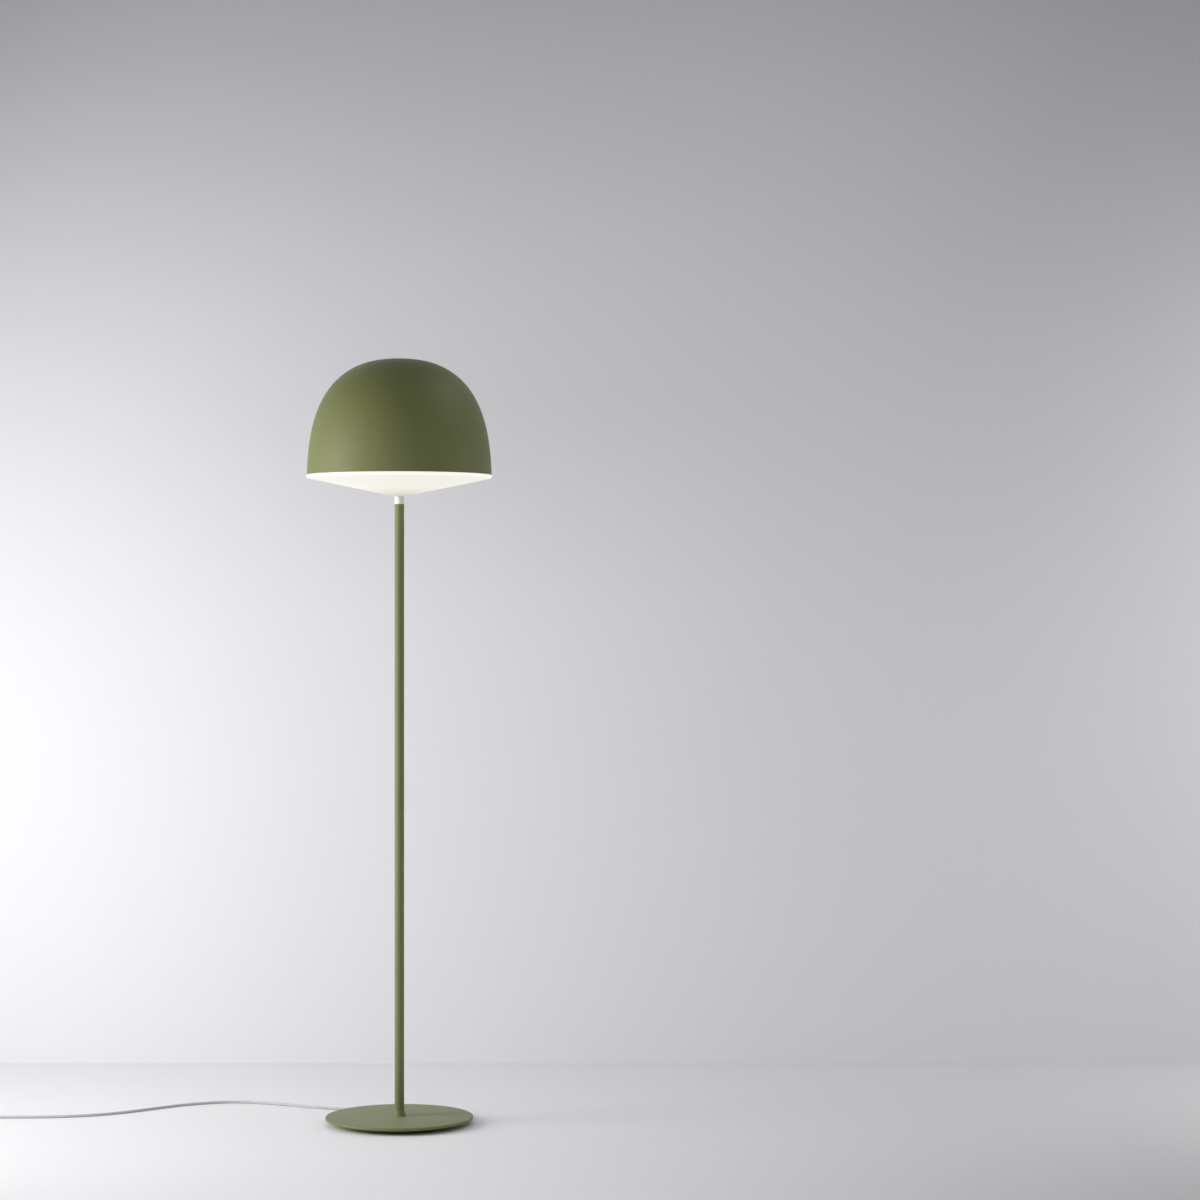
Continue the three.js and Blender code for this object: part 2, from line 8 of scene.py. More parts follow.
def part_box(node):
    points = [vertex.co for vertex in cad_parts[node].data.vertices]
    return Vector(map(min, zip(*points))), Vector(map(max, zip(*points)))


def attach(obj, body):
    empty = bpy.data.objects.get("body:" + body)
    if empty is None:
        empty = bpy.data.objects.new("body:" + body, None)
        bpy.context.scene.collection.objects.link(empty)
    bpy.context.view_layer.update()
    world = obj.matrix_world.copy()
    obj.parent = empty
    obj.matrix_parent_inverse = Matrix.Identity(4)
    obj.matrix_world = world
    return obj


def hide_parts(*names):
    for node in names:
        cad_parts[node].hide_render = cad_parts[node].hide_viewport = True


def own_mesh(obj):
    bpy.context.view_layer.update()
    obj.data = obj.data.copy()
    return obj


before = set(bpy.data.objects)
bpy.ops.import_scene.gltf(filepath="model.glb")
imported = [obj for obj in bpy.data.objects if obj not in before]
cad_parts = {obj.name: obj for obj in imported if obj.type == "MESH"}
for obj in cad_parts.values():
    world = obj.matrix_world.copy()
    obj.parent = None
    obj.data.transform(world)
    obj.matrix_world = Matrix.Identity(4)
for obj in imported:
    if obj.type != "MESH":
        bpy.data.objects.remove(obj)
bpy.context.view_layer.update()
MM = 0.001


# ---- Room and camera ---------------------------------------------------------
# A pale floor that meets a plain wall behind the lamp. The wall is solid from the front only, so that
# the lamp can also be looked at from behind. One soft light stands on the left, a weaker one right.

WALL_BEHIND = 0.764


def sums(operation, swapped=False):
    """A method that adds one Math node, with its two sides swapped or not."""
    def method(self, *other):
        return self.maths(operation, *((*other, self) if swapped else (self, *other)))
    return method


class Link:
    """A node's output that can be used in sums. Each operator adds the Math node it stands for."""

    def __init__(self, tree, socket):
        self.tree, self.socket = tree, socket

    def maths(self, operation, *values):
        return self.tree.node("ShaderNodeMath", {"operation": operation}, dict(enumerate(values)))

    __add__ = __radd__ = sums("ADD")
    __sub__, __rsub__ = sums("SUBTRACT"), sums("SUBTRACT", swapped=True)
    __mul__ = __rmul__ = sums("MULTIPLY")
    __truediv__, __rtruediv__ = sums("DIVIDE"), sums("DIVIDE", swapped=True)
    __pow__, __gt__, __lt__ = sums("POWER"), sums("GREATER_THAN"), sums("LESS_THAN")
    sine, cosine, arcsine, root = sums("SINE"), sums("COSINE"), sums("ARCSINE"), sums("SQRT")

    def limited(self, low=0, high=1):
        return self.maths("MINIMUM", self.maths("MAXIMUM", self, low), high)


class Tree:
    """Adds nodes to a node tree."""

    def __init__(self, tree):
        self.tree = tree

    def node(self, kind, settings=None, sockets=None, output=0):
        """A new node with its settings, such as a ramp's stops, and its sockets' values or links."""
        node = self.tree.nodes.new(kind)
        for name, value in (settings or {}).items():
            if name == "stops":
                stops = node.color_ramp.elements
                while len(stops) < len(value):
                    stops.new(1)
                for stop, (position, colour) in zip(stops, value):
                    stop.position, stop.color = position, (*colour, 1)
            else:
                setattr(node, name, value)
        for key, value in (sockets or {}).items():
            if isinstance(value, Link):
                self.tree.links.new(value.socket, node.inputs[key])
            else:
                node.inputs[key].default_value = value
        return Link(self, node.outputs[output])


class Finish(Tree):
    """A material with one Principled shader. Its patterns read the piece's Object coordinates."""

    def __init__(self, name, **constants):
        self.material = bpy.data.materials.new(name)
        self.material.use_nodes = True
        super().__init__(self.material.node_tree)
        self.shader = self.tree.nodes["Principled BSDF"]
        self.place = self.node("ShaderNodeTexCoord", output="Object")
        self.set({key.replace("_", " ").title(): value for key, value in constants.items()})

    def set(self, sockets):
        for key, value in sockets.items():
            socket = self.shader.inputs[key]
            if isinstance(value, Link):
                self.tree.links.new(value.socket, socket)
            elif socket.type == "RGBA":
                socket.default_value = (*value, 1)
            else:
                socket.default_value = value

    def axes(self):
        """The X, Y and Z of the place, in metres."""
        split = self.node("ShaderNodeSeparateXYZ", sockets={0: self.place}).socket.node
        return [Link(self, socket) for socket in split.outputs]

    def noise(self, scale, detail=2, stretch=(1, 1, 1)):
        """Soft noise from 0 to 1, with about `scale` lumps to the metre."""
        place = self.node("ShaderNodeMapping", sockets={"Vector": self.place, "Scale": stretch})
        return self.node("ShaderNodeTexNoise", sockets={
            "Vector": place, "Scale": scale, "Detail": detail, "Roughness": 0.55})

    def mix(self, factor, first, second):
        """A colour from first, where factor is 0, to second."""
        as_colour = {6: first, 7: second}
        return self.node("ShaderNodeMix", {"data_type": "RGBA"}, {0: factor} | {
            key: value if isinstance(value, Link) else (*value, 1) for key, value in as_colour.items()
        }, output=2)

    def clouded(self, lumps, dark, pale, rough=None, grain=None):
        """Colour and roughness that drift in soft clouds, over a fine grain. Lumps and grain hold
        the noise's scale and detail, grain the relief's depth too, and rough the lowest roughness
        and how far it rises."""
        cloud = self.noise(*lumps)
        self.set({"Base Color": self.mix(cloud, dark, pale)})
        if rough:
            self.set({"Roughness": cloud * rough[1] + rough[0]})
        if grain:
            self.relief(self.noise(*grain[:2]), grain[2])
        return self

    def relief(self, height, depth):
        """Raises the surface by the height, from 0 to 1, times the depth in metres."""
        self.set({"Normal": self.node("ShaderNodeBump", sockets={"Distance": depth, "Height": height})})


def linked(name, data):
    """A new object in the scene."""
    piece = bpy.data.objects.new(name, data)
    bpy.context.collection.objects.link(piece)
    return piece


def plane(name, corners, finish):
    mesh = bpy.data.meshes.new(name)
    mesh.from_pydata(corners, [], [(0, 1, 2, 3)])
    mesh.materials.append(finish.material)
    linked(name, mesh)


floor_finish = Finish("pale_floor", roughness=0.75).clouded(
    (1.2, 4), (0.84, 0.84, 0.85), (0.87, 0.87, 0.88))
FLOOR = [(-7, -9), (8, -9), (8, WALL_BEHIND), (-7, WALL_BEHIND)]
plane("floor", [(x, y, 0) for x, y in FLOOR], floor_finish)

wall_finish = Finish("plain_wall", roughness=0.9).clouded(
    (0.9, 3), (0.77, 0.762, 0.79), (0.80, 0.792, 0.82))
see_through = wall_finish.node("ShaderNodeMixShader", sockets={
    0: wall_finish.node("ShaderNodeNewGeometry", output="Backfacing"),
    1: Link(wall_finish, wall_finish.shader.outputs[0]),
    2: wall_finish.node("ShaderNodeBsdfTransparent"),
})
wall_finish.tree.links.new(see_through.socket, wall_finish.tree.nodes["Material Output"].inputs[0])
plane("wall", [(x, WALL_BEHIND, z) for x, z in [(-7, 0), (8, 0), (8, 6), (-7, 6)]], wall_finish)

camera = linked("camera", bpy.data.cameras.new("camera"))
camera.location = (0.3796, -5.822, 0.9911)
camera.rotation_euler = (math.pi / 2, 0, 0)
camera.data.lens = 92.3
camera.data.sensor_width = 36
bpy.context.scene.camera = camera


def soft_light(name, place, target, width, height, power, spread=180):
    light = bpy.data.lights.new(name, "AREA")
    light.shape = "RECTANGLE"
    light.size, light.size_y, light.energy = width, height, power
    light.spread = math.radians(spread)
    lamp = linked(name, light)
    lamp.location = place
    lamp.visible_camera = False
    lamp.rotation_euler = (Vector(target) - Vector(place)).to_track_quat("-Z", "Y").to_euler()


soft_light("key_light", (-1.93, -0.48, 0.95), (0, 0, 0.85), 0.9, 1.3, 21, spread=125)
soft_light("low_light", (-0.4, -1.5, 1.1), (-0.2, -0.2, 0), 2.4, 1.1, 11)
soft_light("right_light", (2.3, 0.1, 1.0), (0.7, 0.76, 0.9), 1.0, 1.4, 7.5)
soft_light("shoulder_light", (1.4, 0.15, 2.75), (0, 0, 1.35), 0.8, 0.8, 1.5, spread=80)
soft_light("wall_light", (-1.9, -0.3, 0.45), (-0.3, 0.8, 0.4), 1.2, 0.7, 5.5)
world = bpy.data.worlds.new("room")
world.use_nodes = True
world.node_tree.nodes["Background"].inputs["Color"].default_value = (0.94, 0.96, 1, 1)
world.node_tree.nodes["Background"].inputs["Strength"].default_value = 0.13
bpy.context.scene.world = world
bpy.context.scene.view_settings.view_transform = "Standard"


# ---- Cords -------------------------------------------------------------------
# Round grey plastic flex. One length lies on the floor from the base to the foot switch, in loose
# bends; the next is wound in a two-layer coil beyond the switch and ends in the plug.

CORD_RADIUS = 2.5
CORD_REST = 2.65                     # height of the cord's middle on the floor
CORD_ANGLE = math.radians(120)       # where the cord leaves the base
GLAND_TIP = 137.3                    # where it leaves the strain relief, from the lamp's axis
GLAND_HEIGHT = 3.28
SWITCH = Vector((-842, 60, 0))
SWITCH_HALF = 32
INLET = 5.6                          # height of the switch's cord holes
RELIEF_TIP = 55.9                    # from the switch's middle to its strain reliefs' tips
TIP_HEIGHT = 3.2
COIL_X = -940
OUTER_TURN = 39.375
INNER_TURN = 20.625
TURNS = 3.75                         # in each layer
LOWER, UPPER = 3.75, 8.75            # heights of the two layers
COIL_Y = SWITCH.y - OUTER_TURN
PLUG_X = COIL_X + 50                 # tip of the plug's strain relief
PLUG_Y = COIL_Y - OUTER_TURN

grey_cord = Finish("grey_flex", roughness=0.5, sheen_weight=0.15).clouded(
    (45, 5), (0.40, 0.40, 0.415), (0.56, 0.56, 0.575), (0.42, 0.2), (900, 2, 0.00006))


def flex(name, route):
    """A cord whose middle runs smoothly through the route's points, in millimetres."""
    curve = bpy.data.curves.new(name, "CURVE")
    curve.dimensions = "3D"
    curve.bevel_depth = CORD_RADIUS * MM
    curve.bevel_resolution = 5
    curve.resolution_u = 5
    curve.use_fill_caps = True
    line = curve.splines.new("BEZIER")
    line.bezier_points.add(len(route) - 1)
    for point, place in zip(line.bezier_points, route):
        point.co = Vector(place) * MM
        point.handle_left_type = point.handle_right_type = "AUTO"
    curve.materials.append(grey_cord.material)
    piece = linked(name, curve)
    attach(piece, "stand")
    return piece


def polar(radius, angle, height=0):
    """A point at a radius and an angle about the lamp's axis."""
    return (radius * math.cos(angle), radius * math.sin(angle), height)


def away(distance, height):
    """A point over the line on which the cord leaves the base."""
    return polar(distance, CORD_ANGLE, height)


LOOSE = [
    (-86, 134), (-103, 146), (-125, 156), (-150, 164), (-178, 176), (-205, 189), (-233, 204),
    (-262, 217), (-290, 228), (-318, 235), (-346, 237), (-373, 232), (-400, 222), (-425, 209),
    (-449, 193), (-472, 174), (-494, 154), (-518, 132), (-545, 111), (-576, 92), (-611, 77),
    (-650, 67), (-692, 62), (-737, 60), (-770, 60),
]
floor_flex = flex("floor_flex", [
    away(124, 4.0), away(130.6, 3.65), away(GLAND_TIP, GLAND_HEIGHT), away(GLAND_TIP + 8, 2.9),
    *[(x, y, CORD_REST) for x, y in LOOSE],
    (SWITCH.x + RELIEF_TIP, SWITCH.y, TIP_HEIGHT), (SWITCH.x + 44, SWITCH.y, 4.25),
])
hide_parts("cord_to_switch")

POINTS_PER_TURN = 24
RISE = POINTS_PER_TURN // 4          # points over which the cord climbs to the upper layer


def coil():
    """In along the outside, spiralling inwards below, up at the middle and outwards above."""
    count = round(TURNS * POINTS_PER_TURN)
    points = []
    for i in range(2 * count + 1):
        if i <= count:
            radius = OUTER_TURN + (INNER_TURN - OUTER_TURN) * i / count
            height = LOWER
        else:
            out = max(0, (i - count - RISE) / (count - RISE))
            climbed = min(1, (i - count) / RISE)
            radius = INNER_TURN + (OUTER_TURN - INNER_TURN) * out
            height = LOWER + (UPPER - LOWER) * (3 - 2 * climbed) * climbed ** 2
        angle = math.pi / 2 + 2 * math.pi * i / POINTS_PER_TURN
        points.append((COIL_X + radius * math.cos(angle), COIL_Y + radius * math.sin(angle), height))
    return points


spare_flex = flex("spare_flex", [
    (SWITCH.x - 44, SWITCH.y, 4.25), (SWITCH.x - RELIEF_TIP, SWITCH.y, TIP_HEIGHT),
    (SWITCH.x - 68, SWITCH.y, 2.9), (SWITCH.x - 80, SWITCH.y, 3.3), *coil(),
    (COIL_X + 10, PLUG_Y, UPPER), (COIL_X + 20, PLUG_Y, 8.5), (COIL_X + 28, PLUG_Y, 7.4),
    (COIL_X + 38, PLUG_Y, 5.3), (PLUG_X, PLUG_Y, 4.05), (PLUG_X + 9, PLUG_Y, 5.0),
])
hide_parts("cord_to_coil", "cord_coil", "cord_to_plug")


# ---- Strain reliefs ----------------------------------------------------------
# Soft grey plastic sleeves with moulded ribs, where the cord leaves the base, enters and leaves the
# foot switch and enters the plug. Each narrows towards its tip.

grey_plastic = Finish("grey_plastic", roughness=0.46).clouded(
    (70, 4), (0.43, 0.43, 0.44), (0.52, 0.52, 0.53), (0.4, 0.16), (1600, 2, 0.00005))


def faced_out(mesh):
    """The mesh with its faces turned outwards: a closed shape has a positive volume."""
    mesh.calc_loop_triangles()
    volume = 0
    for triangle in mesh.loop_triangles:
        a, b, c = (mesh.vertices[i].co for i in triangle.vertices)
        volume += a.dot(b.cross(c))
    if volume < 0:
        mesh.flip_normals()


def smoothed(mesh, crease=38):
    """Smooth shading, with edges that turn more than `crease` degrees left sharp."""
    mesh.shade_smooth()
    mesh.set_sharp_from_angle(angle=math.radians(crease))


def baked(piece):
    """The piece's new plain mesh, with its modifiers applied and gone."""
    evaluated = piece.evaluated_get(bpy.context.evaluated_depsgraph_get())
    mesh = bpy.data.meshes.new_from_object(evaluated)
    piece.modifiers.clear()
    piece.data = mesh
    return mesh


class Pattern(Tree):
    """A Geometry Nodes tree with named inputs, which makes a shape or repeats the one it is given."""

    KINDS = {int: "NodeSocketInt", float: "NodeSocketFloat"}

    def __init__(self, name, **inputs):
        super().__init__(bpy.data.node_groups.new(name, "GeometryNodeTree"))
        socket = self.tree.interface.new_socket
        socket("Geometry", in_out="OUTPUT", socket_type="NodeSocketGeometry")
        socket("Geometry", in_out="INPUT", socket_type="NodeSocketGeometry")
        material = socket("material", in_out="INPUT", socket_type="NodeSocketMaterial")
        self.keys = {"material": material.identifier}
        for label, default in inputs.items():
            item = socket(label, in_out="INPUT", socket_type=self.KINDS[type(default)])
            item.default_value = default
            self.keys[label] = item.identifier
        self.group_input = self.tree.nodes.new("NodeGroupInput")

    def inputs(self):
        """The tree's own inputs, as links in their order."""
        return [Link(self, self.group_input.outputs[label]) for label in list(self.keys)[1:]]

    def sheet(self, rows, columns):
        """A flat grid to be bent into shape, with its row and its column from 0 to 1."""
        grid = self.node("GeometryNodeMeshGrid", sockets={
            "Size X": 1, "Size Y": 1, "Vertices X": rows, "Vertices Y": columns})
        split = self.node("ShaderNodeSeparateXYZ", sockets={0: self.node("GeometryNodeInputPosition")})
        row, column = split.socket.node.outputs[:2]
        return grid, Link(self, row) + 0.5, Link(self, column) + 0.5

    def bent(self, sheet, x, y, z):
        """The sheet with its points moved to x, y and z, and what then touches joined."""
        place = self.node("ShaderNodeCombineXYZ", sockets={0: x, 1: y, 2: z})
        moved = self.node("GeometryNodeSetPosition", sockets={"Geometry": sheet, "Position": place})
        return self.node("GeometryNodeMergeByDistance", sockets={"Geometry": moved, "Distance": 1e-6})

    def spun(self, sheet, radius, turn, height):
        """The sheet bent to a radius, an angle and a height."""
        return self.bent(sheet, radius * turn.cosine(), radius * turn.sine(), height)

    def ends(self, geometry):
        whole = self.node("GeometryNodeRealizeInstances", sockets={"Geometry": geometry})
        painted = self.node("GeometryNodeSetMaterial", sockets={
            "Geometry": whole, "Material": Link(self, self.group_input.outputs["material"])})
        out = self.tree.nodes.new("NodeGroupOutput")
        self.tree.links.new(painted.socket, out.inputs[0])

    def made(self, name, finish, source=None, place=Matrix(), solid=True, **values):
        """What the tree makes, as a plain mesh in its place."""
        piece = linked(name, source or bpy.data.meshes.new(name))
        modifier = piece.modifiers.new(name, "NODES")
        modifier.node_group = self.tree
        for label, value in {"material": finish.material, **values}.items():
            modifier[self.keys[label]] = value
        mesh = baked(piece)
        mesh.name = name
        mesh.transform(place)
        if solid:
            faced_out(mesh)
        smoothed(mesh)
        return piece


def settle(piece, slot, *solids, body="stand"):
    """The piece moves with its body and is seen in place of its plain solids."""
    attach(piece, body)
    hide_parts(*solids)
    return piece


# The profile runs out over the thick end, along the ribs, in at the tip and back through the bore.
sleeve = Pattern(
    "ribbed_sleeve", length=0.02, thick=0.004, thin=0.003, bore=0.0026, ribs=6, rib_depth=0.0005, plain=0.2,
)
RIB_ROWS = 84
RIBS_END = 0.97                      # share of the length
length, thick, thin, bore, ribs, rib_depth, plain = sleeve.inputs()
sheet, row, column = sleeve.sheet(rows=RIB_ROWS + 4, columns=41)
row = row * (RIB_ROWS + 3)
along = ((row - 1) / RIB_ROWS).limited() * (row < RIB_ROWS + 2.5)
outside = (row > 0.5) * (row < RIB_ROWS + 1.5)
ribbed = (along > plain) * (along < RIBS_END)
wave = ((along - plain) / (RIBS_END - plain) * ribs * (2 * math.pi)).cosine()
groove = ((0.35 - wave) * 1.6).limited() * ribbed * rib_depth
radius = bore + outside * (thick + (thin - thick) * along - groove - bore)
turn = column * (2 * math.pi)
sleeve.ends(sleeve.bent(sheet, along * length, radius * turn.cosine(), radius * turn.sine()))


def relief(name, start, tip, thick, thin, ribs, *solids, **shape):
    """A ribbed sleeve from its thick end at start to its tip, in millimetres."""
    start, tip = Vector(start) * MM, Vector(tip) * MM
    turned_to = (tip - start).to_track_quat("X", "Z").to_matrix().to_4x4()
    piece = sleeve.made(
        name, grey_plastic, place=Matrix.Translation(start) @ turned_to, length=(tip - start).length,
        thick=thick * MM, thin=thin * MM, ribs=ribs, **shape,
    )
    return settle(piece, "grey_plastic", *solids)


relief("base_relief", away(106, 5), away(137, 3.3), 3.9, 3.0, 5, "cord_gland", plain=0.45)
switch_relief_in, switch_relief_out = (
    relief(
        f"switch_relief_{way}", (SWITCH.x + side * 29, SWITCH.y, INLET),
        (SWITCH.x + side * RELIEF_TIP, SWITCH.y, TIP_HEIGHT), 4.2, 3.1, 6,
        f"switch_relief_{solid}", plain=0.15,
    )
    for way, side, solid in [("first", 1, "in"), ("second", -1, "out")]
)
plug_relief = relief(
    "plug_sleeve", (PLUG_X + 26, PLUG_Y, 7.1), (PLUG_X, PLUG_Y, 4.05), 5.0, 3.1, 6, "plug_relief", plain=0.08,
)


# ---- Base plate --------------------------------------------------------------
# A turned steel disc with a rounded rim, powder coated green. It is screwed to the foot from below,
# so its top is unbroken but for the stem.

green_paint = Finish("green_powder_coat", sheen_weight=0.08, sheen_roughness=0.4)
cloud = green_paint.noise(7, 4)
grain = green_paint.noise(1500, 3)
upward = green_paint.node("ShaderNodeSeparateXYZ", sockets={
    0: green_paint.node("ShaderNodeNewGeometry", output="Normal")}, output=2)
dust = (upward * 1.6 - 0.6).limited() * green_paint.noise(30, 5) * 0.1
paint = green_paint.mix(cloud, (0.136, 0.150, 0.041), (0.150, 0.164, 0.048))
paint = green_paint.mix(grain * 0.35, paint, (0.20, 0.22, 0.085))
green_paint.set({
    "Base Color": green_paint.mix(dust, paint, (0.36, 0.365, 0.27)),
    "Roughness": grain * 0.14 + cloud * 0.06 + 0.5,
})
green_paint.relief(grain, 0.00007)


def lapped(name, rings, finish, loop=False, crease=38):
    """A closed mesh over rings of points in millimetres. A ring of one point is a pole, open ends
    get a flat face, and a loop joins the last ring to the first."""
    form = bmesh.new()
    rows = [[form.verts.new(Vector(point) * MM) for point in ring] for ring in rings]
    for here, there in list(zip(rows, rows[1:])) + ([(rows[-1], rows[0])] if loop else []):
        count = max(len(here), len(there))
        for i in range(count):
            j = (i + 1) % count
            corners = [here[i % len(here)], here[j % len(here)], there[j % len(there)], there[i % len(there)]]
            form.faces.new(list(dict.fromkeys(corners)))
    if not loop:
        for row in (rows[0], rows[-1]):
            if len(row) > 2:
                form.faces.new(row)
    bmesh.ops.recalc_face_normals(form, faces=form.faces)
    mesh = bpy.data.meshes.new(name)
    form.to_mesh(mesh)
    form.free()
    faced_out(mesh)
    smoothed(mesh, crease)
    mesh.materials.append(finish.material)
    return linked(name, mesh)


def rounded(corners, steps=5, closed=True):
    """An outline whose corners (x, y, radius) are turned into arcs. A corner with no radius stays."""
    points = []
    for i, (x, y, *radius) in enumerate(corners):
        here = Vector((x, y))
        end = not closed and i in (0, len(corners) - 1)
        if end or not radius:
            points.append(here)
            continue
        before = (Vector(corners[i - 1][:2]) - here)
        after = (Vector(corners[(i + 1) % len(corners)][:2]) - here)
        half = before.angle(after) / 2
        reach = min(radius[0] / math.tan(half), before.length * 0.49, after.length * 0.49)
        first, last = here + before.normalized() * reach, here + after.normalized() * reach
        middle = here + (before.normalized() + after.normalized()).normalized() * (
            math.hypot(reach, reach * math.tan(half)))
        start, stop = first - middle, last - middle
        sweep = start.angle_signed(stop)
        for step in range(steps + 1):
            points.append(middle + Matrix.Rotation(-sweep * step / steps, 2) @ start)
    return points


def turned(name, corners, finish, facets=96, steps=5, crease=38):
    """A piece turned about the lamp's axis: an outline of (radius, height, rounding), which is closed
    or starts and ends on the axis."""
    rings = []
    for radius, height in rounded(corners, steps):
        count = 1 if radius < 1e-6 else facets
        rings.append([polar(radius, 2 * math.pi * i / count, height) for i in range(count)])
    return lapped(name, rings, finish, loop=len(rings[0]) > 1, crease=crease)


PLATE_RADIUS, PLATE_LOW, PLATE_TOP = 139.7, 9.3, 15
STEM_RADIUS, STEM_BORE = 9, 7.8
settle(turned("plate", [
    (STEM_BORE, PLATE_LOW, 0.3), (PLATE_RADIUS, PLATE_LOW, 2.3), (PLATE_RADIUS, PLATE_TOP, 2.3),
    (STEM_BORE, PLATE_TOP, 0.3),
], green_paint, facets=240, steps=8), "green_paint", "base_plate")


# ---- Foot --------------------------------------------------------------------
# A smaller cast-iron ballast disc in a duller coat of the green, which lifts the plate off the floor.
# The cord lies in a channel cut in it, and three screws in deep holes hold it to the plate.

dark_paint = Finish("dark_foot_paint", roughness=0.72)
cloud = dark_paint.noise(16, 4)
cast = dark_paint.noise(420, 4)
dark_paint.set({"Base Color": dark_paint.mix(cloud, (0.130, 0.144, 0.042), (0.152, 0.167, 0.050))})
dark_paint.relief(cast, 0.0003)
FOOT_LOW, FOOT_TOP = 1.5, 9.0
SCREW_RING, FIRST_SCREW = 80, 60     # radius of the ring of screws, angle of its first in degrees
POCKET = 42                          # radius of the hollow in the middle


def block(low, high, finish, place=Matrix()):
    """A plain block that cuts other pieces."""
    rings = [
        [(x, y, z) for x, y in [(low[0], low[1]), (high[0], low[1]), (high[0], high[1]), (low[0], high[1])]]
        for z in (low[2], high[2])
    ]
    piece = lapped("block", rings, finish)
    piece.data.transform(place)
    return piece


def round_cutter(radius, low, high, place, finish, facets=40):
    piece = turned("hole", [(0, low), (radius, low), (radius, high), (0, high)], finish, facets=facets)
    piece.data.transform(place)
    return piece


def carved(piece, cutters):
    """The piece with the cutters' shapes taken away."""
    for cutter in cutters:
        modifier = piece.modifiers.new("carve", "BOOLEAN")
        modifier.object, modifier.solver = cutter, "EXACT"
    smoothed(baked(piece))
    for cutter in cutters:
        bpy.data.objects.remove(cutter)
    return piece


def at(x, y, z=0):
    return Matrix.Translation(Vector((x, y, z)) * MM)


foot = turned("foot", [
    (POCKET, FOOT_LOW, 0.5), (111.5, FOOT_LOW, 1.2), (115.5, FOOT_TOP, 0.6), (POCKET, FOOT_TOP, 0.4),
], dark_paint, facets=192)
foot_screw_places = [
    polar(SCREW_RING, math.radians(angle)) for angle in (FIRST_SCREW, FIRST_SCREW + 120, FIRST_SCREW + 240)
]
CHANNEL_HALF = 4.2
channel = block(
    (34, -CHANNEL_HALF, -5), (140, CHANNEL_HALF, 15), dark_paint, Matrix.Rotation(CORD_ANGLE, 4, "Z"))
holes = [
    round_cutter(radius, low, high, at(*place), dark_paint)
    for place in foot_screw_places for radius, low, high in [(2.5, -1, 20), (4.9, -1, 4.9)]
]
carved(foot, [channel, *holes])
settle(foot, "dark_paint", "base_foot")


# ---- Pads under the foot -----------------------------------------------------
# A black rubber ring with fine grooves stands on the floor, and a thin rubber disc covers the hollow
# in the middle of the foot, where the cord turns up into the stem.

rubber = Finish("black_rubber", roughness=0.85).clouded(
    (60, 4), (0.016, 0.016, 0.017), (0.036, 0.036, 0.037), (0.76, 0.15), (1100, 3, 0.0001))
RING_IN, RING_OUT, RING_TOP = 62, 104, 1.2
GROOVES = 10
groove_pitch = (RING_OUT - RING_IN) / GROOVES
underside = []
for i in range(GROOVES):
    start = RING_IN + i * groove_pitch
    underside += [(start + 0.5, 0), (start + 3.0, 0), (start + 3.3, 0.45), (start + 3.9, 0.45)]
settle(turned("grooved_ring", [
    (RING_IN, 0.3), *underside, (RING_OUT, 0.3), (RING_OUT, RING_TOP, 0.2), (RING_IN, RING_TOP, 0.2),
], rubber, facets=128), "rubber", "floor_ring")
settle(turned("middle_cover", [
    (0, 0.6), (12, 0.6), (12.6, 0.3), (14, 0.3), (14.6, 0.6), (52, 0.6), (52.8, 0.3, 0.1), (58, 0.3, 0.2),
    (58, 1.2, 0.2), (0, 1.2),
], rubber, facets=96), "rubber", "under_cover")


# ---- Screws ------------------------------------------------------------------
# Pan-head machine screws with a hexagon socket, all driven from below: three through the foot, three
# through the stem's flange, one for the cord clip, two in the foot switch and two brass terminals.

zinc = Finish("bright_zinc", metallic=1.0).clouded(
    (300, 4), (0.42, 0.43, 0.44), (0.60, 0.61, 0.62), (0.22, 0.3), (2200, 2, 0.00002))
brass = Finish("brass", metallic=1.0).clouded(
    (240, 4), (0.45, 0.30, 0.10), (0.66, 0.47, 0.19), (0.24, 0.25), (2000, 2, 0.00002))

screws = Pattern(
    "screws_in_a_ring", count=3, ring_radius=0.08, first_angle=0.0, head_radius=0.0045, head_height=0.0028,
    shank_radius=0.0022, length=0.01, pitch=0.0007,
)
HEAD_ROWS = 8
THREAD_ROWS = 96
count, ring_radius, first_angle, head_radius, head_height, shank_radius, length, pitch = screws.inputs()
sheet, row, column = screws.sheet(rows=HEAD_ROWS + 4, columns=49)
row = row * (HEAD_ROWS + 3)
arc = ((row - 1) / HEAD_ROWS).limited() * (math.pi / 2)
# Out from the middle over the rounded face, up the side and back in over the top of the head.
spread = (row > 0.5) * (row < HEAD_ROWS + 2.5) * (head_radius * 0.62 + head_radius * 0.38 * arc.sine())
rise = head_height * ((1 - arc.cosine()) * 0.45 + (row > HEAD_ROWS + 1.5) * 0.55)
head = screws.spun(sheet, spread, column * (2 * math.pi), rise)
socket = screws.node("GeometryNodeMeshCylinder", sockets={
    "Vertices": 6, "Radius": head_radius * 0.5, "Depth": head_height * 1.1}, output="Mesh")
head = screws.node("GeometryNodeMeshBoolean", {"operation": "DIFFERENCE", "solver": "EXACT"}, {
    "Mesh 1": head, "Mesh 2": socket}, output="Mesh")
sheet, row, column = screws.sheet(rows=THREAD_ROWS, columns=33)
turn = column * (-2 * math.pi)
height = row * (length - head_height * 0.98)
thread = (height / pitch * (2 * math.pi) - turn).cosine() * 0.06
inside = (row > 0.004) * (row < 0.996)
shank = screws.spun(sheet, inside * shank_radius * (0.94 + thread), turn, height + head_height * 0.98)
one_screw = screws.node("GeometryNodeJoinGeometry", sockets={0: head})
screws.tree.links.new(shank.socket, one_screw.socket.node.inputs[0])
line = screws.node("GeometryNodeMeshLine", sockets={"Count": count})
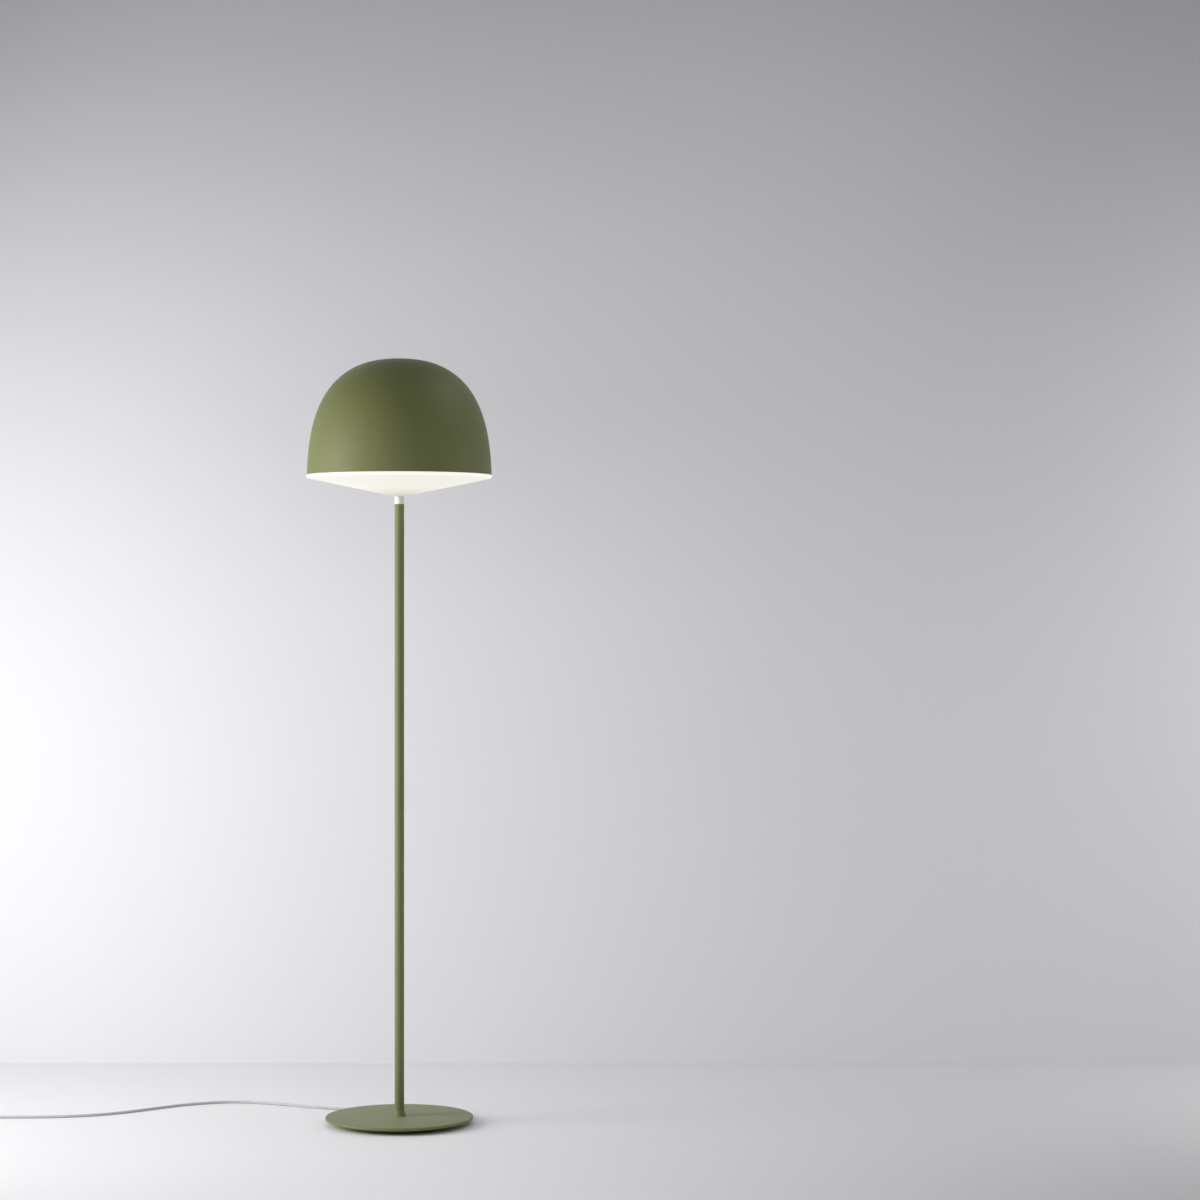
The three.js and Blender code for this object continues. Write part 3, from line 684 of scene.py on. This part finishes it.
angle = first_angle + screws.node("GeometryNodeInputIndex") * (2 * math.pi) / count
place = screws.node("ShaderNodeCombineXYZ", sockets={
    0: ring_radius * angle.cosine(), 1: ring_radius * angle.sine()})
ring_points = screws.node("GeometryNodeSetPosition", sockets={"Geometry": line, "Position": place})
angle = screws.node("ShaderNodeCombineXYZ", sockets={2: first_angle})
screws.ends(screws.node("GeometryNodeInstanceOnPoints", sockets={
    "Points": ring_points, "Instance": one_screw, "Rotation": angle}))


def screw_ring(name, finish, slot, head, shank, solids, ring, centre=(0, 0)):
    """Screws for the named solids; head is (radius, low, height), shank (radius, top) and ring
    (count, radius, first angle in degrees)."""
    count, ring_radius, first = ring
    piece = screws.made(
        name, finish, place=at(*centre, head[1]), count=count, ring_radius=ring_radius * MM,
        first_angle=math.radians(first), head_radius=head[0] * MM, head_height=head[2] * MM,
        shank_radius=shank[0] * MM, length=(shank[1] - head[1]) * MM,
    )
    return settle(piece, slot, *solids)


def numbered(name, count):
    return [f"{name}_{i + 1}" for i in range(count)]


SCREW_TOP = 13.1                     # where their ends stop inside the plate
CLIP_ALONG, CLIP_ASIDE = 33.5, 8.2   # the clip's screw, along the cord's line and beside it
screw_ring(
    "foot_screws", zinc, "zinc", (4.6, 1.8, 2.8), (2.2, SCREW_TOP), numbered("foot_screw", 3),
    (3, SCREW_RING, FIRST_SCREW),
)
screw_ring(
    "flange_screws", zinc, "zinc", (3.2, 5.1, 1.8), (1.6, SCREW_TOP), numbered("flange_screw", 3),
    (3, 15.5, FIRST_SCREW),
)
clip_place = polar(
    math.hypot(CLIP_ASIDE, CLIP_ALONG), CORD_ANGLE + math.atan2(CLIP_ASIDE, CLIP_ALONG))[:2]
screw_ring(
    "clip_fastening", zinc, "zinc", (3, 5.2, 1.7), (1.5, SCREW_TOP), ["clip_screw"], (1, 0.001, 0),
    clip_place,
)


# ---- Fittings inside the base and the stem -----------------------------------
# A zinc flange carries the stem, a clip holds the mains lead, and a brass bush with a hollow threaded
# nipple closes the stem's top. None of them shows, and their plain solids are kept.

def repaint(finish, *names):
    for name in names:
        for material_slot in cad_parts[name].material_slots:
            material_slot.material = finish.material


white_plastic = Finish("white_plastic", roughness=0.42, subsurface_weight=0.04).clouded(
    (60, 4), (0.70, 0.695, 0.67), (0.79, 0.785, 0.76), (0.34, 0.14), (1500, 2, 0.00004))
repaint(zinc, "stem_flange", "threaded_nipple")
repaint(brass, "stem_top_bush")
repaint(white_plastic, "cord_clip")
repaint(grey_cord, "mains_lead")


# ---- Stem --------------------------------------------------------------------
# A drawn steel tube in the same green coat, with a small flared collar where it stands on the plate.

STEM_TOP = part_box("stem_tube")[1][2] / MM
settle(turned("stem", [
    (STEM_BORE, PLATE_TOP, 0.1), (STEM_RADIUS, PLATE_TOP, 0.1), (STEM_RADIUS, STEM_TOP, 0.5),
    (STEM_BORE, STEM_TOP, 0.3),
], green_paint, facets=72), "green_paint", "stem_tube")
settle(turned("flared_collar", [
    (STEM_RADIUS, PLATE_TOP), (12.6, PLATE_TOP), (12.35, 15.8, 1.0), (11.4, 18.6, 6),
    (10.35, 22.4, 8), (9.95, 26, 0.5), (STEM_RADIUS, 26.2),
], green_paint, facets=96), "green_paint", "stem_collar")


# ---- Neck --------------------------------------------------------------------
# A short white spacer between the stem and the dish, which the light from the dish brightens.

white_paint = Finish("white_paint")
cloud = white_paint.noise(80, 4)
white_paint.set({
    "Base Color": white_paint.mix(cloud, (0.68, 0.672, 0.645), (0.74, 0.732, 0.705)),
    "Roughness": cloud * 0.15 + 0.4,
})
white_paint.relief(white_paint.noise(1500, 3), 0.00005)
NECK_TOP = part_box("neck_spacer")[1][2] / MM
NIPPLE_HOLE, FITTING_HOLE = 5.3, 5.4  # radii round the nipple, up to the dish and above it
GAP = 0.3                            # left between pieces that touch
settle(turned("neck", [
    (NIPPLE_HOLE, STEM_TOP + GAP, 0.2), (STEM_RADIUS, STEM_TOP + GAP, 0.6), (STEM_RADIUS, NECK_TOP, 0.4),
    (NIPPLE_HOLE, NECK_TOP, 0.2),
], white_paint, facets=72), "white_paint", "neck_spacer")


# ---- Dish --------------------------------------------------------------------
# A shallow cone of opal acrylic with an upright rim. The lamp is lit, so it glows evenly: a little
# brighter in the rim, partly a painted highlight where the upright rim catches the light, and dimmer near the
# neck, where the lampholder shades it.

DISH_RADIUS, DISH_WALL, DISH_SLOPE = 175, 2.6, 0.211
RIM_INSIDE = 171.9
DISH_LOW, DISH_TOP = (corner[2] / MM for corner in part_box("dish"))
CONE_TOP = DISH_LOW + (DISH_RADIUS - STEM_RADIUS) * DISH_SLOPE
opal = Finish("lit_opal_acrylic", roughness=0.6)
x, y, _ = opal.axes()
reach = (x * x + y * y).root() / (DISH_RADIUS * MM)
# Over the lamp's own even glow, this ramp paints the lampholder's shade, dimmer towards the neck, and a
# painted highlight in the upright rim.
glow_with_painted_light = opal.node("ShaderNodeValToRGB", {"stops": [
    (0.05, (0.42, 0.40, 0.34)), (0.14, (0.51, 0.49, 0.41)), (0.27, (0.62, 0.595, 0.51)),
    (0.48, (0.69, 0.67, 0.59)), (0.97, (0.68, 0.665, 0.60)), (0.995, (0.80, 0.78, 0.72)),
]}, {0: reach + (opal.noise(14, 3) - 0.5) * 0.02})
opal.set({
    "Base Color": opal.mix(opal.noise(24, 4), (0.10, 0.099, 0.094), (0.13, 0.129, 0.123)),
    "Emission Color": glow_with_painted_light, "Emission Strength": 1.12,
})
opal.relief(opal.noise(700, 2), 0.00003)
inner_cone = [
    DISH_LOW + DISH_WALL + (radius - STEM_RADIUS) * DISH_SLOPE for radius in (STEM_RADIUS, RIM_INSIDE)
]
settle(turned("opal_dish", [
    (NIPPLE_HOLE, DISH_LOW, 0.2), (STEM_RADIUS, DISH_LOW, 0.5), (DISH_RADIUS, CONE_TOP, 3.2),
    (DISH_RADIUS, DISH_TOP, 0.6), (RIM_INSIDE, DISH_TOP, 0.6), (RIM_INSIDE, inner_cone[1], 1.0),
    (STEM_RADIUS, inner_cone[0], 1.0), (NIPPLE_HOLE, inner_cone[0], 0.2),
], opal, facets=288), "opal", "dish")


# ---- Tabs in the dish's rim --------------------------------------------------
# Three clear tabs stand inside the rim and centre the shade, which only rests on the dish.

clear_plastic = Finish("clear_plastic", roughness=0.2).clouded(
    (120, 3), (0.68, 0.69, 0.70), (0.78, 0.79, 0.80), (0.14, 0.15), (900, 2, 0.00003))
repeated = Pattern("repeated_round_the_axis", count=3, first_angle=0.0)
count, first_angle = repeated.inputs()
spots = repeated.node("GeometryNodeMeshLine", sockets={"Count": count, "Offset": (0, 0, 0)})
index = repeated.node("GeometryNodeInputIndex")
angle = repeated.node("ShaderNodeCombineXYZ", sockets={2: index * (2 * math.pi) / count + first_angle})
repeated.ends(repeated.node("GeometryNodeInstanceOnPoints", sockets={
    "Points": spots, "Instance": Link(repeated, repeated.group_input.outputs["Geometry"]),
    "Rotation": angle,
}))

TAB_LOW, TAB_HALF, TAB_STEP = inner_cone[1] + GAP, 7, 14
tab_side = rounded([
    (169.5, TAB_LOW, 0.4), (171.4, TAB_LOW, 0.4), (171.4, TAB_LOW + TAB_STEP, 0.8),
    (170.1, TAB_LOW + 18, 0.4), (168.5, TAB_LOW + 18, 0.5), (169.5, TAB_LOW + TAB_STEP, 1.5),
], steps=4)
tab = lapped("tab", [
    [(x - 0.2 - inset * 0.3, y, z) for x, z in tab_side]
    for y, inset in [(-TAB_HALF, 0.6), (-TAB_HALF + 0.3, 0), (TAB_HALF - 0.3, 0), (TAB_HALF, 0.6)]
], clear_plastic)
tabs = repeated.made("rim_tabs", clear_plastic, source=tab.data, count=3, first_angle=math.pi / 2)
bpy.data.objects.remove(tab)
settle(tabs, "clear_plastic", *numbered("centring_tab", 3))


# ---- Washers and nut on the dish ---------------------------------------------
# A silicone washer and a white pressed disc spread the load of the lock nut on the acrylic.

silicone = Finish("pale_silicone", roughness=0.6).clouded(
    (90, 3), (0.48, 0.48, 0.46), (0.58, 0.58, 0.56), (0.56, 0.1), (1200, 2, 0.00004))


def cone_washer(name, radius, low, thickness, finish):
    """A washer that lies against the dish's slope."""
    edge = low + max(0, radius - STEM_RADIUS) * DISH_SLOPE
    return turned(name, [
        (FITTING_HOLE, low, 0.1), (STEM_RADIUS, low), (radius, edge, 0.4), (radius, edge + thickness, 0.4),
        (STEM_RADIUS, low + thickness), (FITTING_HOLE, low + thickness, 0.1),
    ], finish, facets=72)


WASHER, DISC = 1, 1.2                # thicknesses
gasket = cone_washer("silicone_washer", 16, inner_cone[0] + GAP, WASHER, silicone)
settle(gasket, "silicone", "dish_gasket")
disc = cone_washer("pressed_disc", 30, inner_cone[0] + WASHER + 2 * GAP, DISC, white_paint)
settle(disc, "white_paint", "dish_disc")
repaint(zinc, "lock_nut")


# ---- Lampholder --------------------------------------------------------------
# A white thermoplastic holder in two halves: a cap on the nipple and a shell with grip ribs, with the
# contacts' block, a pressed screw shell and two brass springs inside.

HOLDER_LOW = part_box("holder_cap")[0][2] / MM
SEAM = HOLDER_LOW + 18
SHELL_TOP = HOLDER_LOW + 53
ceramic = Finish("glazed_ceramic", roughness=0.25).clouded(
    (110, 4), (0.70, 0.69, 0.66), (0.80, 0.79, 0.76), (0.16, 0.2))
nickel = Finish("nickel_plate", metallic=1.0).clouded(
    (200, 4), (0.55, 0.54, 0.51), (0.72, 0.71, 0.68), (0.16, 0.2), (1800, 2, 0.00002))

settle(turned("cap_of_holder", [
    (FITTING_HOLE, HOLDER_LOW, 0.2), (10, HOLDER_LOW, 1), (16, HOLDER_LOW + 3, 3), (20, HOLDER_LOW + 9, 2),
    (20, SEAM, 0.5), (17.4, SEAM, 0.3), (17.4, HOLDER_LOW + 9, 1), (14, HOLDER_LOW + 5, 1),
    (FITTING_HOLE, HOLDER_LOW + 4.4, 0.2),
], white_plastic, facets=72), "white_plastic", "holder_cap")

GRIP_RIBS = 36
grip = Pattern(
    "grip_ribs", low=1.2, high=1.24, outer=0.02, inner=0.0176, lip=0.0152, depth=0.0006, ribs=GRIP_RIBS,
)
RIB_FACETS = 8
PROFILE = 11                          # corners of the shell's outline
low, high, outer, inner, lip, depth, ribs = grip.inputs()
sheet, row, column = grip.sheet(rows=PROFILE + 1, columns=GRIP_RIBS * RIB_FACETS + 1)
turn = column * (-2 * math.pi)
rib = ((turn * ribs).cosine() * 1.2 + 0.5).limited() * depth
# Each corner of the outline: its radius, its height and whether the ribs reach it.
shell_outline = [
    (inner, low, 0), (outer - 0.0005, low, 0), (outer, low + 0.0005, 0), (outer, low + 0.004, 0),
    (outer, low + 0.0045, 1), (outer, high - 0.0075, 1), (outer, high - 0.007, 0),
    (outer - 0.0002, high - 0.001, 0), (outer - 0.001, high, 0), (lip, high, 0),
    (lip, high - 0.002, 0), (inner, high - 0.002, 0),
]
row = row * PROFILE
radius, height = 0, 0
for i, (corner_radius, corner_height, reached) in enumerate(shell_outline):
    here = (row > i - 0.5) * (row < i + 0.5)
    radius = radius + here * (corner_radius - rib * reached)
    height = height + here * corner_height
grip.ends(grip.spun(sheet, radius, turn, height))
holder_shell = grip.made(
    "shell_of_holder", white_plastic, solid=False, low=(SEAM + GAP) * MM, high=SHELL_TOP * MM,
)
form = bmesh.new()
form.from_mesh(holder_shell.data)
edges = [edge for edge in form.edges if edge.is_boundary]
bmesh.ops.bridge_loops(form, edges=edges)
form.to_mesh(holder_shell.data)
form.free()
faced_out(holder_shell.data)
smoothed(holder_shell.data)
settle(holder_shell, "white_plastic", "holder_shell")

INSERT_LOW, INSERT_TOP = SEAM + 1, SEAM + 8
insert = turned("contact_block", [
    (0, INSERT_LOW), (17.2, INSERT_LOW, 0.6), (17.2, INSERT_TOP, 0.8), (0, INSERT_TOP),
], ceramic, facets=64)
carved(insert, [
    round_cutter(1.8, INSERT_LOW - 1, INSERT_TOP - 1, at(x, 0), ceramic, 24) for x in (9, -9)
])
settle(insert, "ceramic", "holder_insert")
screw_ring("terminal_screws", brass, "brass", (2.6, INSERT_LOW - 2.3, 2), (1.5, INSERT_TOP - 1.5),
           numbered("terminal_screw", 2), (2, 9, 0))
brown_wire = Finish("brown_wire", roughness=0.45).clouded(
    (90, 3), (0.10, 0.04, 0.015), (0.15, 0.06, 0.025))
blue_wire = Finish("blue_wire", roughness=0.45).clouded((90, 3), (0.02, 0.08, 0.30), (0.03, 0.12, 0.42))
repaint(brown_wire, "live_wire")
repaint(blue_wire, "neutral_wire")
repaint(brass, "centre_contact", "side_contact")


# ---- Screw shells ------------------------------------------------------------
# The bulb's cap and the sleeve it screws into are both pressed from thin nickel-plated strip, with
# the same rounded thread of 3.6 mm pitch.

pressed = Pattern("pressed_thread", low=0.0, high=0.02, radius=0.0128, depth=0.0004, pitch=0.00363)
low, high, radius, depth, pitch = pressed.inputs()
sheet, row, column = pressed.sheet(rows=121, columns=97)
turn = column * (-2 * math.pi)
height = low + row * (high - low)
fade = (row * 9).limited() * ((1 - row) * 9).limited()
wave = (height / pitch * (2 * math.pi) + turn).cosine() * fade
pressed.ends(pressed.spun(sheet, radius + wave * depth, turn, height))


def walled(piece, thickness, inner_finish=None):
    """Gives an open shell its wall, on the inside. The inside may have a finish of its own."""
    modifier = piece.modifiers.new("wall", "SOLIDIFY")
    modifier.thickness, modifier.offset, modifier.use_even_offset = thickness * MM, -1, True
    if inner_finish:
        piece.data.materials.append(inner_finish.material)
        modifier.material_offset = 1
    smoothed(baked(piece))
    return piece


settle(walled(pressed.made(
    "threaded_sleeve", nickel, solid=False, low=(INSERT_TOP + GAP) * MM, high=(SHELL_TOP - 2.3) * MM,
    radius=13.95 * MM, depth=0.25 * MM,
), 0.3), "nickel", "holder_sleeve")


# ---- Bulb --------------------------------------------------------------------
# A lit round bulb: opal glass on a nickel-plated screw cap, with a black glass insulator and a brass
# contact at the bottom.

BULB_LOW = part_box("bulb_tip")[0][2] / MM
CAP_LOW, CAP_TOP = BULB_LOW + 6.2, BULB_LOW + 27
settle(walled(pressed.made(
    "threaded_cap", nickel, solid=False, low=CAP_LOW * MM, high=CAP_TOP * MM,
    radius=12.6 * MM, depth=0.3 * MM,
), 0.3), "nickel", "bulb_cap", body="bulb")
black_glass = Finish("black_glass", roughness=0.12).clouded(
    (150, 3), (0.006, 0.006, 0.009), (0.02, 0.02, 0.026), (0.08, 0.14))
settle(turned("glass_insulator", [
    (0, BULB_LOW + 2.1), (5, BULB_LOW + 2.1, 0.5), (12.1, BULB_LOW + 5.8, 0.5), (12.1, BULB_LOW + 6.1, 0.1),
    (0, BULB_LOW + 6.1),
], black_glass, facets=64), "black_glass", "bulb_insulator", body="bulb")
settle(turned("tip_contact", [
    (0, BULB_LOW), (4.2, BULB_LOW, 1.0), (4.2, BULB_LOW + 1.8, 0.2), (0, BULB_LOW + 1.8),
], brass, facets=48, steps=8), "brass", "bulb_tip", body="bulb_carrier")

lit_glass = Finish("lit_opal_glass", roughness=0.25)
z = lit_glass.axes()[2]
up = ((z - (CAP_TOP + 4) * MM) / (30 * MM)).limited()
lit_glass.set({
    "Base Color": (0.75, 0.74, 0.70),
    "Emission Color": lit_glass.mix(up, (0.35, 0.30, 0.22), (1.0, 0.93, 0.80)),
    "Emission Strength": 1.6,
})
lit_glass.relief(lit_glass.noise(500, 2), 0.00002)
GLOBE = [(13.8, 0), (15.6, 10), (21, 23), (27.6, 36), (30, 49), (26.4, 64.5), (15.5, 75.5), (0, 80)]


def through(points, steps):
    """Points on a smooth curve through the given ones (Catmull-Rom)."""
    ends = [points[0], *points, points[-1]]
    line = []
    for i in range(1, len(points)):
        a, b, c, d = (Vector(ends[i + k]) for k in (-1, 0, 1, 2))
        for step in range(steps):
            t = step / steps
            line.append(0.5 * (2 * b + (c - a) * t + (2 * a - 5 * b + 4 * c - d) * t ** 2
                               + (3 * b - a - 3 * c + d) * t ** 3))
    return [*line, Vector(points[-1])]


globe_outline = [(radius, CAP_TOP + GAP + height) for radius, height in through(GLOBE, 9)]
settle(turned(
    "opal_globe", [(0, CAP_TOP + GAP), *globe_outline[:-1], (0, globe_outline[-1][1])], lit_glass, facets=96,
), "opal", "bulb_globe", body="bulb")


# ---- Shade -------------------------------------------------------------------
# A spun steel dome, fuller at the shoulder and flatter on top than a ball, coated green outside and
# white inside. It lifts off the dish's rim to reach the bulb.

lining = Finish("white_lining", roughness=0.55).clouded(
    (14, 4), (0.74, 0.73, 0.70), (0.82, 0.81, 0.78), (0.5, 0.1), (1300, 3, 0.00006))

dome = Pattern(
    "domed_shade", radius=0.1753, radius_power=2.4,
    centre=1.1563, height=0.291, height_power=3.28, rim=1.2276,
)
radius, radius_power, centre, height, height_power, rim = dome.inputs()
sheet, row, column = dome.sheet(rows=161, columns=289)
first = (((rim - centre) / height) ** (height_power / 2)).arcsine()
angle = first + (math.pi / 2 - first) * row
across = radius * angle.cosine().limited() ** (2 / radius_power)
up = centre + height * angle.sine() ** (2 / height_power)
dome.ends(dome.spun(sheet, across, column * (-2 * math.pi), up))
shade = dome.made("shade", green_paint, solid=False, rim=(DISH_TOP + GAP) * MM)
settle(walled(shade, 1, lining), "green_paint", "shade_dome", body="shade")


# ---- Foot switch -------------------------------------------------------------
# A flat grey box in two moulded halves, held by two screws from below, with the cord through it end to
# end. Its round white button springs back when it is pressed.

SWITCH_WIDTH = 36
SWITCH_LOW, SWITCH_SEAM, SWITCH_TOP = 0.2, 8, 19
SWITCH_PLACE = at(SWITCH.x, SWITCH.y)
BUTTON_RADIUS = 10


def stadium(inset, steps=12):
    """The switch's outline seen from above, moved inwards by the inset."""
    half_length, half_width = SWITCH_HALF - inset, SWITCH_WIDTH / 2 - inset
    corner = max(15 - inset, 1)
    return rounded([
        (-half_length, -half_width, corner), (half_length, -half_width, corner),
        (half_length, half_width, corner), (-half_length, half_width, corner),
    ], steps)


def stacked(name, levels, finish, outline):
    """A closed piece over outlines at (inset, height) levels."""
    rings = [[(x, y, height) for x, y in outline(inset)] for inset, height in levels]
    return lapped(name, rings, finish, crease=32)


def edge_arc(radius, height, up, steps=6):
    """(inset, height) levels round an edge that starts at a height and turns over, or under."""
    turns = [math.pi / 2 * i / steps for i in range(steps + 1)]
    levels = [
        (radius * (1 - math.cos(turn)), height + up * radius * math.sin(turn)) for turn in turns
    ]
    return levels if up > 0 else levels[::-1]


def cord_hole(finish):
    """A cutter along the switch for the cord and the strain reliefs' ends."""
    hole = round_cutter(4.5, -37, 37, Matrix.Rotation(math.pi / 2, 4, "Y"), finish)
    hole.data.transform(at(0, 0, INLET))
    return hole


HALF_SCREW = Vector((21, 10.5, 0))
switch_lower = stacked("switch_lower_half", [
    *edge_arc(1.2, SWITCH_LOW + 1.2, -1), (0, SWITCH_SEAM - 0.4), (0.3, SWITCH_SEAM),
], grey_plastic, stadium)
carved(switch_lower, [
    stacked("hollow", [(2, 3.2), (2, 12)], grey_plastic, stadium), cord_hole(grey_plastic),
    *[
        round_cutter(radius, -1, top, at(*place), grey_plastic)
        for radius, top in [(2.8, 2.1), (1.6, 5)] for place in (HALF_SCREW, -HALF_SCREW)
    ],
])
switch_upper = stacked("switch_upper_half", [
    (0.3, SWITCH_SEAM + 0.3), (0, SWITCH_SEAM + 0.7), *edge_arc(3.2, SWITCH_TOP - 3.2, 1),
], grey_plastic, stadium)
# A shallow ring is sunk round the button, and the hole for it goes through the cover's top.
sink = turned("sink", [
    (BUTTON_RADIUS + 1, SWITCH_TOP - 0.5), (BUTTON_RADIUS + 3.6, SWITCH_TOP - 0.5, 0.2),
    (BUTTON_RADIUS + 4.2, SWITCH_TOP + 1), (BUTTON_RADIUS + 1, SWITCH_TOP + 1),
], grey_plastic, facets=72)
carved(switch_upper, [
    stacked("hollow", [(2, 4), (2, SWITCH_TOP - 2.6), (2.6, SWITCH_TOP - 2)], grey_plastic, stadium),
    cord_hole(grey_plastic),
    round_cutter(BUTTON_RADIUS + 0.3, SWITCH_TOP - 5, SWITCH_TOP + 2, at(0, 0), grey_plastic, 72),
    sink,
])
for piece, solid in [(switch_lower, "switch_base"), (switch_upper, "switch_cover")]:
    piece.data.transform(SWITCH_PLACE)
    settle(piece, "grey_plastic", solid)
switch_screws = screw_ring(
    "switch_screws", zinc, "zinc", (2.5, 0.5, 1.3), (1.3, 14.5), numbered("switch_screw", 2),
    (2, HALF_SCREW.length, math.degrees(math.atan2(HALF_SCREW.y, HALF_SCREW.x))), (SWITCH.x, SWITCH.y),
)
black_plastic = Finish("black_plastic", roughness=0.45).clouded(
    (80, 4), (0.012, 0.012, 0.013), (0.03, 0.03, 0.032), (0.38, 0.15))
repaint(black_plastic, "switch_block")

BUTTON_TOP = SWITCH_TOP + 4
FLANGE = SWITCH_TOP - 2.3
button = turned("press_button", [
    (0, BUTTON_TOP - 2.2), (7, BUTTON_TOP - 2.2, 0.4), (7, FLANGE - 1.5, 0.2), (11.6, FLANGE - 1.5, 0.2),
    (11.6, FLANGE, 0.2), (BUTTON_RADIUS, FLANGE), (BUTTON_RADIUS, BUTTON_TOP, 1.4),
    (7.6, BUTTON_TOP, 0.6), (6.8, BUTTON_TOP - 0.6, 1.2), (0, BUTTON_TOP - 0.9),
], white_plastic, facets=72)
button.data.transform(SWITCH_PLACE)
settle(button, "white_plastic", "switch_button", body="button")

SPRING_TURNS = 4
spring_low, spring_high = (corner[2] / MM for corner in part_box("switch_spring"))
SPRING_RADIUS, WIRE = 4.5, 0.45
STEPS = 24                           # to a turn
helix = []
for i in range(SPRING_TURNS * STEPS + 1):
    rise = (spring_high - spring_low - 2 * WIRE) * i / (SPRING_TURNS * STEPS)
    helix.append(Vector(polar(SPRING_RADIUS, 2 * math.pi * i / STEPS, spring_low + WIRE + rise)))
spring_rings = []
for i, middle in enumerate(helix):
    ahead = (helix[min(i + 1, len(helix) - 1)] - helix[max(i - 1, 0)]).normalized()
    outwards = Vector((middle.x, middle.y, 0)).normalized()
    third = ahead.cross(outwards).normalized()
    spring_rings.append([
        middle + WIRE * (math.cos(k * math.pi / 5) * outwards + math.sin(k * math.pi / 5) * third)
        for k in range(10)
    ])
spring = lapped("button_spring", spring_rings, zinc)
spring.data.transform(SWITCH_PLACE)
settle(spring, "zinc", "switch_spring")
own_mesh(spring)


# ---- Tie round the coil ------------------------------------------------------
# A strip of soft black hook-and-loop tape passes through the coil and round the turns on one side.

tie_finish = Finish("woven_tape", roughness=0.9)
weave = tie_finish.noise(1300, 3, stretch=(1, 3, 1))
tie_finish.set({"Base Color": tie_finish.mix(weave, (0.012, 0.012, 0.013), (0.045, 0.045, 0.047))})
tie_finish.relief(weave, 0.0003)
TIE_HALF = 5
TIE_WALL = 0.7
TIE_NEAR, TIE_FAR = 17.0, 42.4       # from the coil's middle, just clear of the turns
TIE_LOW, TIE_HIGH = 0.95, 11.75


def strap(grow):
    """The loop's outline, seen along its width, moved outwards."""
    return rounded([
        (TIE_NEAR - grow, TIE_LOW - grow, 1.6 + grow), (TIE_FAR + grow, TIE_LOW - grow, 1.6 + grow),
        (TIE_FAR + grow, TIE_HIGH + grow, 1.6 + grow), (TIE_NEAR - grow, TIE_HIGH + grow, 1.6 + grow),
    ], 6)


tie_rings = []
for grow, width in [
    (0, -TIE_HALF + 0.2), (0.15, -TIE_HALF), (TIE_WALL - 0.15, -TIE_HALF), (TIE_WALL, -TIE_HALF + 0.2),
    (TIE_WALL, TIE_HALF - 0.2), (TIE_WALL - 0.15, TIE_HALF), (0.15, TIE_HALF), (0, TIE_HALF - 0.2),
]:
    tie_rings.append([(-across, width, height) for across, height in strap(grow)])
tie = lapped("coil_tie", tie_rings, tie_finish, loop=True)
tie.data.transform(at(COIL_X, COIL_Y))
settle(tie, "tie", "cord_tie")


# ---- Plug --------------------------------------------------------------------
# A flat two-pin plug moulded in one with its strain relief. It has a waist to grip and a fine seam,
# and two round nickel-plated pins.

PLUG_LOW = PLUG_X + 26.9
PLUG_LENGTH = 34
PLUG_Z = 7.1
PLUG_HALF = 6.85
PLUG_EDGE = 2.6
PLUG_SIDE = [(0, 6), (8, 9), (16, 10.2), (24, 13), (PLUG_LENGTH, 13)]


def plug_outline(inset):
    """The plug seen from above, moved inwards by the inset. Its long sides do not move along it."""
    corners = [(x, -y) for x, y in PLUG_SIDE] + PLUG_SIDE[::-1]
    middle = PLUG_LENGTH / 2
    return [
        (x + math.copysign(inset, middle - x) * min(1, abs(x - middle) / 8), y - math.copysign(inset, y))
        for x, y in rounded([(x, y, 2.2) for x, y in corners], 5)
    ]


plug = stacked("plug_moulding", [
    *edge_arc(PLUG_EDGE, PLUG_EDGE - PLUG_HALF, -1), (0, -0.35), (0.35, -0.12), (0.35, 0.12), (0, 0.35),
    *edge_arc(PLUG_EDGE, PLUG_HALF - PLUG_EDGE, 1),
], grey_plastic, plug_outline)
plug.data.transform(at(PLUG_LOW, PLUG_Y, PLUG_Z))
settle(plug, "grey_plastic", "plug_body")
PIN_START, PIN_ASIDE = PLUG_LENGTH + GAP, 9.4
for side in (1, -1):
    pin = turned("pin", [
        (0, -1), (2, -1, 0.2), (2, 17.5, 1.6), (1.0, 19, 0.6), (0, 19),
    ], nickel, facets=40, steps=6)
    pin.data.transform(Matrix.Rotation(math.pi / 2, 4, "Y"))
    pin.data.transform(at(PLUG_LOW + PIN_START, PLUG_Y + side * PIN_ASIDE, PLUG_Z))
    settle(pin, "nickel", f"plug_pin_{(3 - side) // 2}")
    pin.name = pin.data.name = f"pin_{(3 - side) // 2}"
